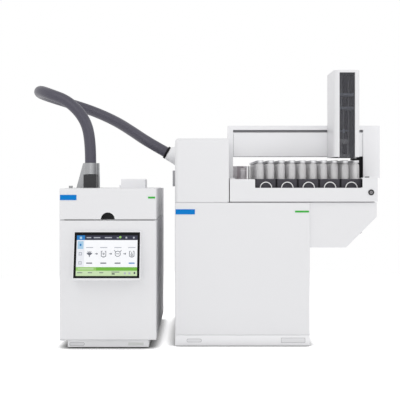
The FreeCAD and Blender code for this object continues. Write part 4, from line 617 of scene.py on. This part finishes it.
# Middle of the heated line, in mm, from the bracket on the chromatograph to the boot on the sampler
LINE_ROUTE = [
    (-448.6, -59, 580.5), (-448.6, -59, 655), (-467, -59, 729.5), (-526, -41, 791), (-591, -20, 816),
    (-638, 35, 835), (-655, 111, 834), (-629, 184, 826), (-571, 231, 810), (-485, 240, 783.5),
    (-394.5, 206, 743), (-327, 155, 700.5), (-267.5, 111, 659.5), (-202, 111, 623),
]


class AddTransferLine(bpy.types.Operator):
    """Adds the heated line between the two cabinets"""
    bl_idname = "chromatograph.add_transfer_line"
    bl_label = "Add the transfer line"

    def execute(self, context):
        settings = context.scene.gc_line
        curve = bpy.data.curves.new("heated_line", "CURVE")
        curve.dimensions = "3D"
        spline = curve.splines.new("NURBS")
        spline.points.add(len(LINE_ROUTE) - 1)
        for point, place in zip(spline.points, LINE_ROUTE):
            point.co = [value * MM for value in place] + [1]
        spline.order_u = 3
        spline.use_endpoint_u = True
        spline.resolution_u = 10
        curve.bevel_depth = settings.diameter / 2
        curve.bevel_resolution = 8
        curve.use_fill_caps = True
        piece = bpy.data.objects.new("heated_line", curve)
        bpy.context.collection.objects.link(piece)
        curve.materials.append(MATERIALS["sheath"])
        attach(piece, "cabinets")
        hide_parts("transfer_line")
        return {"FINISHED"}


# A vial's side as shares of its radius and height, and a cap's side as shares of its radius and in mm
VIAL_SIDE = ((0.6, 0.6 / 78), (0.86, 0), (1, 1.6 / 78), (1, 0.79), (0.95, 0.83), (0.74, 0.86), (0.62, 0.885))
NECK = 0.62
CAP_SIDE = ((0.9, 0), (1, 0.5), (1, 6.9), (0.93, 7.8), (0.5, 8), (0.48, 7.4))
CAP_HEIGHT = 8 * MM
SOLID_DEPTH = math.cos(math.radians(30))  # a solid vial has six sides, so it is less deep than wide


class AddVials(bpy.types.Operator):
    """Adds the crimped headspace vials"""
    bl_idname = "chromatograph.add_vials"
    bl_label = "Add the vials"

    columns: bpy.props.IntProperty(name="Columns", description="Columns in a rack", default=2)
    rows: bpy.props.IntProperty(name="Rows", description="Rows in a rack", default=12)
    cap_inset: length("Cap inset", "Cap's side in from the vial's", 0.5)

    def execute(self, context):
        tray = context.scene.gc_tray
        radius, height = tray.vial_radius, tray.vial_height
        cap = radius - self.cap_inset
        side = [(radius * share, height * level) for share, level in VIAL_SIDE]
        side.append((radius * NECK, height - CAP_HEIGHT + 0.5 * MM))
        lid_side = [(cap * share, level * MM) for share, level in CAP_SIDE]
        for number in RACKS:
            start, end = low(f"vials_{number}"), high(f"vials_{number}")
            first = Vector((start.x + radius, start.y + radius * SOLID_DEPTH, start.z))
            step_x = end.x - start.x - 2 * radius
            step_y = (end.y - start.y - 2 * radius * SOLID_DEPTH) / (self.rows - 1)
            offsets = [(step_x * column, step_y * row, 0)
                       for column in range(self.columns) for row in range(self.rows)][1:]
            body = start_turned(first, side, 16)
            lid = start_turned(first + Vector((0, 0, height - CAP_HEIGHT)), lid_side, 16)
            for shape, finish, name in ((body, "glass", "vial_bodies"), (lid, "caps", "vial_caps")):
                smooth(shape)
                whole = joined([shape] + copies(shape, offsets))
                settle(whole, f"{name}_{number}", "cabinets", "vial_glass", finish)
                if name == "vial_bodies":
                    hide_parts(f"vials_{number}")
        return {"FINISHED"}


# What the touch screen shows, layer by layer. Each field is its finish, then in mm its left, top, width and
# height from the top left corner of the lit area. Plain bars stand where the real screen has words.
SYMBOL_CENTRES = (40, 83.5, 127, 170)
SCREEN_LAYERS = [
    [("shown_white", 0, 0, 187, 125)],
    [
        ("shown_dark", 0, 0, 187, 14.5),
        ("shown_pale", 0, 14.5, 24, 83.5),
        ("shown_green", 0, 98, 187, 11),
        ("shown_pale_green", 0, 109, 187, 16),
    ],
    [
        ("shown_blue", 0, 0, 25, 14.5),
        ("shown_sky", 3, 18, 18, 24),
        ("shown_light_green", 0, 98, 62, 11),
        ("shown_mid", 30, 5.5, 14, 3),
        ("shown_mid", 52, 5.5, 20, 3),
        ("shown_mid", 86, 5.5, 22, 3),
        ("shown_mid", 123, 6, 6, 3),
        ("shown_mid", 150, 4.5, 5, 5),
        ("shown_mid", 173, 4.5, 5, 5),
        ("shown_mid", 7, 52, 10, 10),
        ("shown_mid", 7, 80, 10, 10),
        ("shown_grey", 4, 114, 16, 2.2),
        ("shown_grey", 37, 114, 13, 2.2),
        ("shown_grey", 72, 114, 12, 2.2),
        ("shown_grey", 109, 112, 24, 2.2),
        ("shown_dark", 110, 117, 9, 3.5),
        ("shown_mid", 147, 114, 6, 6),
        ("shown_mid", 161, 114, 6, 6),
        ("shown_dark", 177, 113, 4.5, 6),
        ("shown_blue", 161, 84, 18, 3.5),
    ] + [("shown_mid", centre - 11, 36.5, 22, 2.5) for centre in SYMBOL_CENTRES]
      + [("shown_grey", centre - 9, 84, 18, 3.5) for centre in SYMBOL_CENTRES[:3]]
      + [("shown_grey", centre - 3.5, 65.5, 7, 2.5) for centre in SYMBOL_CENTRES[1::2]],
    [
        ("shown_blue", 9.5, 26, 5, 7),
        ("shown_sky", 9, 4, 7, 7),
        ("shown_pale", 9.5, 54.5, 5, 5),
        ("shown_pale", 9.5, 82.5, 5, 5),
        ("shown_pale_green", 6, 102, 48, 3),
    ],
]
LAYER = 0.12 * MM  # height of each layer of the picture
STROKE = 1.7 * MM


class AddScreenPicture(bpy.types.Operator):
    """Adds what the touch screen shows: plain fields, four drawings and the arrows between them"""
    bl_idname = "chromatograph.add_screen_picture"
    bl_label = "Light the screen"

    def execute(self, context):
        screen = context.scene.gc_screen
        pieces = []
        for level, fields in enumerate(SCREEN_LAYERS, start=1):
            for finish, left, top, width, height in fields:
                pieces.append(painted(start_block(
                    (left * MM, -level * LAYER, -(top + height) * MM),
                    ((left + width) * MM, 0, -top * MM)), finish))
        pieces += self.drawings(len(SCREEN_LAYERS) * LAYER)
        picture = joined(pieces)
        margin = (screen.slope - screen.height) / 2 + screen.drop
        glass_top = Vector((middle("screen_glass").x - screen.width / 2,
                            low("screen_glass").y + screen.slope * math.sin(screen.tilt),
                            high("screen_glass").z))
        down = Vector((0, -math.sin(screen.tilt), -math.cos(screen.tilt)))
        picture.matrix_world = (Matrix.Translation(glass_top + down * margin)
                                @ Matrix.Rotation(-screen.tilt, 4, "X"))
        settle(picture, "screen_picture", "oven_door", "screen")
        return {"FINISHED"}

    def drawings(self, depth):
        """A funnel, an oven, a dial and a flame, with an arrow after each of the first three."""
        funnel, oven, dial, flame = [Vector((centre * MM, -depth / 2, -57 * MM)) for centre in SYMBOL_CENTRES]
        parts = [start_turned(funnel - Vector((0, 0, 10 * MM)), in_mm((1.2, 0), (1.2, 5), (7, 9), (9, 13)),
                              12, Matrix.Diagonal((1, depth / (18 * MM), 1, 1)))]
        parts += [self.stroke(funnel, depth, (lean * 3, 3), (lean * 5, 8)) for lean in (-1, 0, 1)]
        for centre in (oven, flame):
            for side in (-1, 1):
                parts.append(self.stroke(centre, depth, (side * 7, -8), (side * 7, 8)))
                parts += [self.stroke(centre, depth, (side * 7, end), (side * 3.5, end)) for end in (-8, 8)]
        parts.append(start_ring(oven, 3 * MM, 1.4 * MM, depth, 24, FRONT))
        parts.append(start_ring(dial, 9 * MM, 7.3 * MM, depth, 32, FRONT))
        parts.append(start_ring(flame - Vector((0, 0, 3 * MM)), 3.4 * MM, 2 * MM, depth, 24, FRONT))
        parts.append(self.stroke(flame, depth, (0, 0), (0, 6)))
        parts.append(self.stroke(dial, depth, (-5, 0), (5, 0)))
        parts += [self.stroke(dial, depth, (side * 7, 6), (side * 11, 11)) for side in (-1, 1)]
        for centre in (funnel, oven, dial):
            parts += [self.stroke(centre, depth, tail, (25, 0)) for tail in ((17, 0), (22, 2.5), (22, -2.5))]
        green_dot = start_turned((133.6 * MM, 0, -5.5 * MM), [(3.6 * MM, 0), (3.6 * MM, depth)], 24, FRONT)
        return [painted(part, "shown_grey") for part in parts] + [painted(green_dot, "shown_light_green")]

    def stroke(self, centre, depth, start, end):
        """Stroke between two points, in mm right of and above the middle of a drawing."""
        return start_bar(centre + Vector((start[0], 0, start[1])) * MM,
                         centre + Vector((end[0], 0, end[1])) * MM, STROKE, depth)


class AddRackFronts(bpy.types.Operator):
    """Adds the white ring pulls, and dark strips painted as the shade in the gaps between the racks"""
    bl_idname = "chromatograph.add_rack_fronts"
    bl_label = "Add the rack fronts"

    shadow_depth: length("Shadow depth", "Dark edges and discs behind the rack's front", 3)
    gap: length("Gap", "Dark edge at each side of a rack", 2.6)
    cut_away: length("Cut-away", "Cut-away front short of the panel's right side", 47.7)
    thin: length("Thickness", "Rings, discs and linings", 0.3)

    def execute(self, context):
        tray = context.scene.gc_tray
        outer, inner = tray.ring_radius, tray.ring_radius - tray.ring_width
        for number in RACKS:
            start, end = low(f"vial_rack_{number}"), high(f"vial_rack_{number}")
            centre = Vector(((start.x + end.x) / 2 + tray.ring_shift, start.y, tray.ring_level))
            ring = start_ring(centre - Vector((0, self.thin / 2, 0)), outer, inner, self.thin, 48, FRONT)
            settle(ring, f"ring_pull_{number}", "cabinets", "cabinet_white", "ring")
            face = start.y + self.shadow_depth
            disc = start_turned((centre.x, face, centre.z), [(inner, 0), (inner, self.thin)], 40, FRONT)
            # Dark strips at both sides of each rack: painted shade in the gaps between the racks
            edges = [start_block((left, face - self.thin, start.z), (left + self.gap, face, end.z))
                     for left in (start.x, end.x - self.gap)]
            shadow = joined([painted(disc, "rack")] + [painted(edge, "black_and_painted_shade") for edge in edges])
            settle(shadow, f"rack_shadow_{number}", "cabinets", "rack_plastic")
        # A dark sheet on the side of the cut-away in the tray's front: painted shade in the gap beside the
        # last rack
        front, side = low("tray_front").y, high("tray_front").x - self.cut_away
        lining = start_block((side - self.thin, front + self.thin, tray.ring_level),
                             (side, high("tray_front").y, end.z))
        settle(lining, "cut_away_lining", "cabinets", "rack_plastic", "black_and_painted_shade")
        return {"FINISHED"}


class AddButtonFace(bpy.types.Operator):
    """Adds the light symbol on the park button"""
    bl_idname = "chromatograph.add_button_face"
    bl_label = "Add the button's face"

    share: bpy.props.FloatProperty(name="Share", description="Light disc's share of the button's radius",
                                   default=0.52, min=0, max=1, subtype="FACTOR")

    def execute(self, context):
        centre = middle("park_button")
        radius = (high("park_button").x - centre.x) * self.share
        face = Vector((centre.x, low("park_button").y, centre.z))
        disc = start_turned(face, [(radius, 0), (radius, 0.2 * MM)], 32, FRONT)
        bars = [start_block(face + Vector((side - 0.5, -0.3, -2.2)) * MM,
                            face + Vector((side + 0.5, 0, 2.2)) * MM) for side in (-1.3, 1.3)]
        symbol = joined([painted(disc, "mark")] + [painted(bar, "button") for bar in bars])
        settle(symbol, "button_symbol", "park_button", "button_dark")
        return {"FINISHED"}


class AddGantryDetails(bpy.types.Operator):
    """Adds the linings of the guide slot and the tower, the grey strips in the beam's grooves and the bracket
    on the lift rod; the slot's lining is its belt and painted shade, the others are painted shade
    """
    bl_idname = "chromatograph.add_gantry_details"
    bl_label = "Add the gantry's linings"

    thin: length("Thickness", "Linings", 0.2)
    groove: length("Groove", "Width of the grooves round the beam's face", 1)
    groove_gap: length("Groove gap", "Grooves' upper ends under the guide slot", 4)

    def execute(self, context):
        gantry = context.scene.gc_gantry
        self.line_slot(gantry)
        self.line_tower(gantry)
        self.add_bracket(gantry)
        return {"FINISHED"}

    def line_slot(self, gantry):
        start, end, thin, groove = low("bridge_frame"), high("bridge_frame"), self.thin, self.groove
        left, right = start.x + gantry.left_post, end.x - gantry.right_post
        front, back = start.y, start.y + gantry.slot_depth
        bottom = start.z + gantry.slot_level
        top = bottom + gantry.slot_height
        # Grey sheets on the slot's back, floor and roof: the belt at its back, and painted shade in the
        # narrow slot
        sheets = [start_block((left, back - thin, bottom), (right, back, top)),
                  start_block((left, front, bottom), (right, back, bottom + thin)),
                  start_block((left, front, top - thin), (right, back, top))]
        settle(joined(sheets), "slot_lining", "bridge", "rack_plastic", "slot")
        face, foot = front + gantry.recess, start.z + gantry.beam_foot
        # Thin grey strips round the beam's recessed face: painted shade in its grooves
        lines = [start_block((x, face - thin, foot), (x + groove, face + thin, bottom - self.groove_gap))
                 for x in (left + groove, right - groove * 2)]
        lines.append(start_block((left + groove, face - thin, foot),
                                 (right - groove, face + thin, foot + groove)))
        settle(joined(lines), "beam_grooves", "bridge", "casing_grey", "groove")

    def line_tower(self, gantry):
        start, end, thin, wall = low("tower_shell"), high("tower_shell"), self.thin, gantry.tower_wall
        left, right, top = start.x + wall, end.x - wall, end.z - wall
        front, back = start.y + gantry.window_depth, end.y - gantry.runner - wall
        # Dark sheets on the tower's inner walls: painted shade inside the closed tower
        sheets = [start_block((left, back - thin, start.z), (right, back, top)),
                  start_block((left, front, start.z), (left + thin, back, top)),
                  start_block((right - thin, front, start.z), (right, back, top)),
                  start_block((left, front, top - thin), (right, back, top))]
        settle(joined(sheets), "tower_lining", "tower", "rack_plastic", "black_and_painted_shade")

    def add_bracket(self, gantry):
        """Cable bracket on the rod that carries the gripper."""
        start, centre = low("gripper_fingers"), middle("gripper_fingers")
        seat = Vector((centre.x, start.y, start.z + gantry.bracket_level))
        reach = gantry.bracket_width / 2
        bar = start_block((seat.x - reach, seat.y, seat.z), (seat.x + reach, centre.y, seat.z + 3 * MM),
                          0.6 * MM)
        hook = start_block(seat + Vector((-3, -0.6, -6)) * MM, seat + Vector((3, 0, 8)) * MM)
        settle(joined([bar, hook]), "lift_bracket", "gripper", "aluminium", "carriage")


PORT_VIAL = in_mm((10, 0), (10.2, 0.6), (10.2, 24), (8, 27), (7.4, 27), (9.9, 27.6), (9.9, 33.4), (9.4, 34))
PORT_POST = in_mm((2.8, 0), (2.8, 41.6), (2.4, 42))


class AddStationDetails(bpy.types.Operator):
    """Adds the vial in a heating port, the white post and the darker front of the rear part"""
    bl_idname = "chromatograph.add_station_details"
    bl_label = "Add the heating ports' parts"

    def execute(self, context):
        station = context.scene.gc_station
        start, end = low("vial_station"), high("vial_station")
        base = end.z - station.depth
        vial = start_turned((start.x + station.well_x, start.y + station.well_y, base), PORT_VIAL, 24)
        smooth(vial)
        settle(vial, "port_vial", "cabinets", "vial_glass", "sample")
        rear = start.y + station.post_y
        post = start_turned((start.x + station.post_x, rear, base), PORT_POST, 20)
        smooth(post)
        settle(post, "port_post", "cabinets", "cabinet_white", "ring")
        front = start_block((start.x + 15 * MM, rear - 0.3 * MM, base), (start.x + 37 * MM, rear, end.z))
        settle(front, "port_front", "cabinets", "station_plastic", "station_shade")
        return {"FINISHED"}


# Blank plates: their base, then in mm the left side (from the base's right side where it is negative), the
# bottom, width, height and rounding of the corners, and at last whether a thin grey rim goes round
BLANK_PLATES = (
    ("base_plinth", 6, 4.5, 47, 10, 4.8, True),
    ("sampler_base", 36, 11, 47, 11, 5.3, True),
    ("sampler_base", -90, 9.5, 76, 15.5, 1.5, True),
    ("base_plinth", -64, 5, 48, 9, 1, False),
)


class AddPanelDetails(bpy.types.Operator):
    """Adds the blank plates, the dark finger hole with its painted shade and the small black stop on the
    tray's rail
    """
    bl_idname = "chromatograph.add_panel_details"
    bl_label = "Add the panels' small parts"

    hole_reach: length("Hole", "Dark back of the finger hole, to each side and up", 20)

    def execute(self, context):
        self.add_plates()
        cover, reach = low("top_cover"), self.hole_reach
        centre, face = middle("top_cover").x, low("body_shell").y
        # A black sheet behind the finger hole: painted shade in the hole
        hole = start_block((centre - reach, face - 0.4 * MM, cover.z),
                           (centre + reach, face, cover.z + reach))
        settle(hole, "finger_hole_back", "cabinets", "rack_plastic", "lining")
        rail = Vector((high("tray_body").x, low("tray_body").y, high("tray_body").z))
        stop = start_block(rail + Vector((-34, 4, 0)) * MM, rail + Vector((-21, 12, 4.5)) * MM, 0.6 * MM)
        settle(stop, "rail_stop", "cabinets", "rubber", "stop")
        return {"FINISHED"}

    def add_plates(self):
        plates = []
        for base, left, bottom, width, height, rounding, rimmed in BLANK_PLATES:
            corner = low(base)
            if left < 0:
                corner.x = high(base).x
            back = self.plate(corner, left, bottom, width, height, rounding, 0.15)
            plates.append(painted(back, "groove" if rimmed else "blank"))
            if rimmed:
                inner = self.plate(corner, left + 1, bottom + 1, width - 2, height - 2, rounding - 0.8, 0.25)
                plates.append(painted(inner, "abs_white"))
        settle(joined(plates), "blank_plates", "cabinets", "casing_grey")

    def plate(self, corner, left, bottom, width, height, rounding, proud):
        """Thin plate ahead of a panel, in mm from the panel's corner."""
        deselect()
        centre = corner + Vector((left + width / 2, -proud, bottom + height / 2)) * MM
        bpy.ops.mesh.primitive_plane_add(size=1, location=centre, rotation=(math.radians(90), 0, 0))
        piece = bpy.context.object
        piece.scale = (width * MM, height * MM, 1)
        bpy.ops.object.transform_apply(location=False, rotation=False, scale=True)
        modify(piece, "BEVEL", affect="VERTICES", width=rounding * MM, segments=6)
        modify(piece, "SOLIDIFY", thickness=0.6 * MM, offset=-1)
        return piece


class AddScrews(bpy.types.Operator):
    """Adds the socket screws of the rear panel and of both cabinets' sides"""
    bl_idname = "chromatograph.add_screws"
    bl_label = "Add the screws"

    radius: length("Radius", "Screw head", 3.2)
    proud: length("Height", "Screw head ahead of its panel", 0.9)
    inset: length("Inset", "Screws from the panel's edges", 9)

    def execute(self, context):
        panel_low, panel_high = low("rear_panel"), high("rear_panel")
        across = [(x, panel_high.y, z) for x in (panel_low.x + self.inset, panel_high.x - self.inset)
                  for z in (panel_low.z + self.inset, middle("rear_panel").z, panel_high.z - self.inset)]
        self.place_screws("rear_panel_screws", across, Matrix.Rotation(math.radians(-90), 4, "X"))
        for name, node, side, turn in (
                ("casing_left_screws", "body_shell", low("body_shell").x, -90),
                ("casing_right_screws", "body_shell", high("body_shell").x, 90),
                ("sampler_left_screws", "sampler_shell", low("sampler_shell").x, -90),
                ("sampler_right_screws", "sampler_shell", high("sampler_shell").x, 90)):
            bottom, back = low(node).z + self.inset * 2, high(node).y - self.inset
            places = [(side, y, bottom) for y in (low(node).y + self.inset * 5, back)]
            self.place_screws(name, places, Matrix.Rotation(math.radians(turn), 4, "Y"))
        return {"FINISHED"}

    def place_screws(self, name, places, turn):
        """Socket screws at these places, with their heads turned outwards."""
        heads = []
        for place in places:
            head = start_turned(place, [(self.radius, 0), (self.radius, self.proud * 0.6),
                                        (self.radius * 0.8, self.proud)], 20, turn)
            lift = turn.to_3x3() @ Vector((0, 0, self.proud))
            key = self.radius * 0.42
            # A dark hexagon on each head: painted shade in its socket
            socket = start_turned(Vector(place) + lift, [(key, -0.1 * MM), (key, 0.04 * MM)], 6, turn)
            smooth(head)
            heads += [painted(head, "steel"), painted(socket, "lining")]
        settle(joined(heads), name, "cabinets", "stainless")


INLET_PINS = ((-8, -2), (0, 3), (8, -2))  # mm right of and above the middle of the inlet
SOCKETS = ((32, 14), (32, 14), (12.8, 14), (22.4, 22))  # width and height in mm
SOCKET_PITCH = 38


class AddRearDetails(bpy.types.Operator):
    """Adds the pins of the mains inlet and the sockets in the sampler's cable recess"""
    bl_idname = "chromatograph.add_rear_details"
    bl_label = "Add the rear sockets"

    recess_floor: length("Recess", "Floor of the cable recess from the sampler's back", 30)
    sockets_left: length("Sockets from the side", "First socket, from the sampler's left side", 68)
    sockets_up: length("Sockets from below", "Sockets, from the casing's lower edge", 100)

    def execute(self, context):
        start, end, centre = low("mains_inlet"), high("mains_inlet"), middle("mains_inlet")
        pins = [start_block((centre.x + (x - 1) * MM, start.y, centre.z + (z - 3) * MM),
                            (centre.x + (x + 1) * MM, end.y - 1 * MM, centre.z + (z + 3) * MM), 0.3 * MM)
                for x, z in INLET_PINS]
        settle(joined(pins), "inlet_pins", "cabinets", "brass", "brass")
        shell = low("sampler_shell")
        first = Vector((shell.x + self.sockets_left, high("sampler_shell").y - self.recess_floor,
                        shell.z + self.sockets_up))
        sockets = []
        for number, (width, height) in enumerate(SOCKETS):
            corner = first + Vector((SOCKET_PITCH * number, 0, 0)) * MM
            rim = start_block(corner, corner + Vector((width, 1.8, height)) * MM, 0.5 * MM)
            # A dark block inside each rim: painted shade in the socket's opening
            hollow = start_block(corner + Vector((2, 1, 2)) * MM,
                                 corner + Vector((width - 2, 1.9, height - 2)) * MM)
            sockets += [painted(rim, "steel"), painted(hollow, "lining")]
        settle(joined(sockets), "recess_sockets", "cabinets", "stainless")
        return {"FINISHED"}


class AddColumnWindings(bpy.types.Operator):
    """Winds the capillary column on its basket"""
    bl_idname = "chromatograph.add_column_windings"
    bl_label = "Wind the column"

    wire: length("Wire", "Radius of one drawn turn", 1.5)
    layers: bpy.props.IntProperty(name="Layers", description="Turns on top of each other", default=3)

    def execute(self, context):
        start, end, centre = low("column_coil"), high("column_coil"), middle("column_coil")
        outer = (end.x - start.x) / 2
        turns = int((end.y - start.y) / (self.wire * 2.1))
        step = (end.y - start.y - self.wire * 2) / (turns - 1)
        windings = []
        for layer in range(self.layers):
            deselect()
            bpy.ops.mesh.primitive_torus_add(
                location=(centre.x, start.y + self.wire, centre.z), rotation=(math.radians(90), 0, 0),
                major_radius=outer - self.wire * (1 + 2 * layer), minor_radius=self.wire,
                major_segments=64, minor_segments=6)
            turn = bpy.context.object
            smooth(turn, 80)
            windings += [turn] + copies(turn, [(0, step * number, 0) for number in range(1, turns)])
        piece = settle(joined(windings), "column_windings", "cabinets", "column", "column")
        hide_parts("column_coil")
        return {"FINISHED"}


OPERATORS = [FinishCabinets, AddTransferLine, AddScreenPicture, AddVials, AddRackFronts, AddButtonFace,
             AddGantryDetails, AddStationDetails, AddPanelDetails, AddScrews, AddRearDetails,
             AddColumnWindings, AddStage]


class ChromatographPanel(bpy.types.Panel):
    """Sidebar list of the pieces in the order in which they are made"""
    bl_idname = "VIEW3D_PT_chromatograph"
    bl_label = "Chromatograph"
    bl_space_type = "VIEW_3D"
    bl_region_type = "UI"
    bl_category = "Chromatograph"

    def draw(self, context):
        for operator in OPERATORS:
            self.layout.operator(operator.bl_idname)
        for name in SETTINGS:
            settings = getattr(context.scene, name)
            for field in settings.__annotations__:
                self.layout.prop(settings, field)


def register():
    for group in SETTINGS.values():
        bpy.utils.register_class(group)
    for name, group in SETTINGS.items():
        setattr(bpy.types.Scene, name, bpy.props.PointerProperty(type=group))
    for operator in OPERATORS + [ChromatographPanel]:
        bpy.utils.register_class(operator)


def unregister():
    for operator in reversed(OPERATORS + [ChromatographPanel]):
        bpy.utils.unregister_class(operator)
    for name, group in SETTINGS.items():
        delattr(bpy.types.Scene, name)
        bpy.utils.unregister_class(group)


def main():
    register()
    for operator in OPERATORS:
        group, name = operator.bl_idname.split(".")
        getattr(getattr(bpy.ops, group), name)()


if __name__ == "__main__":
    main()
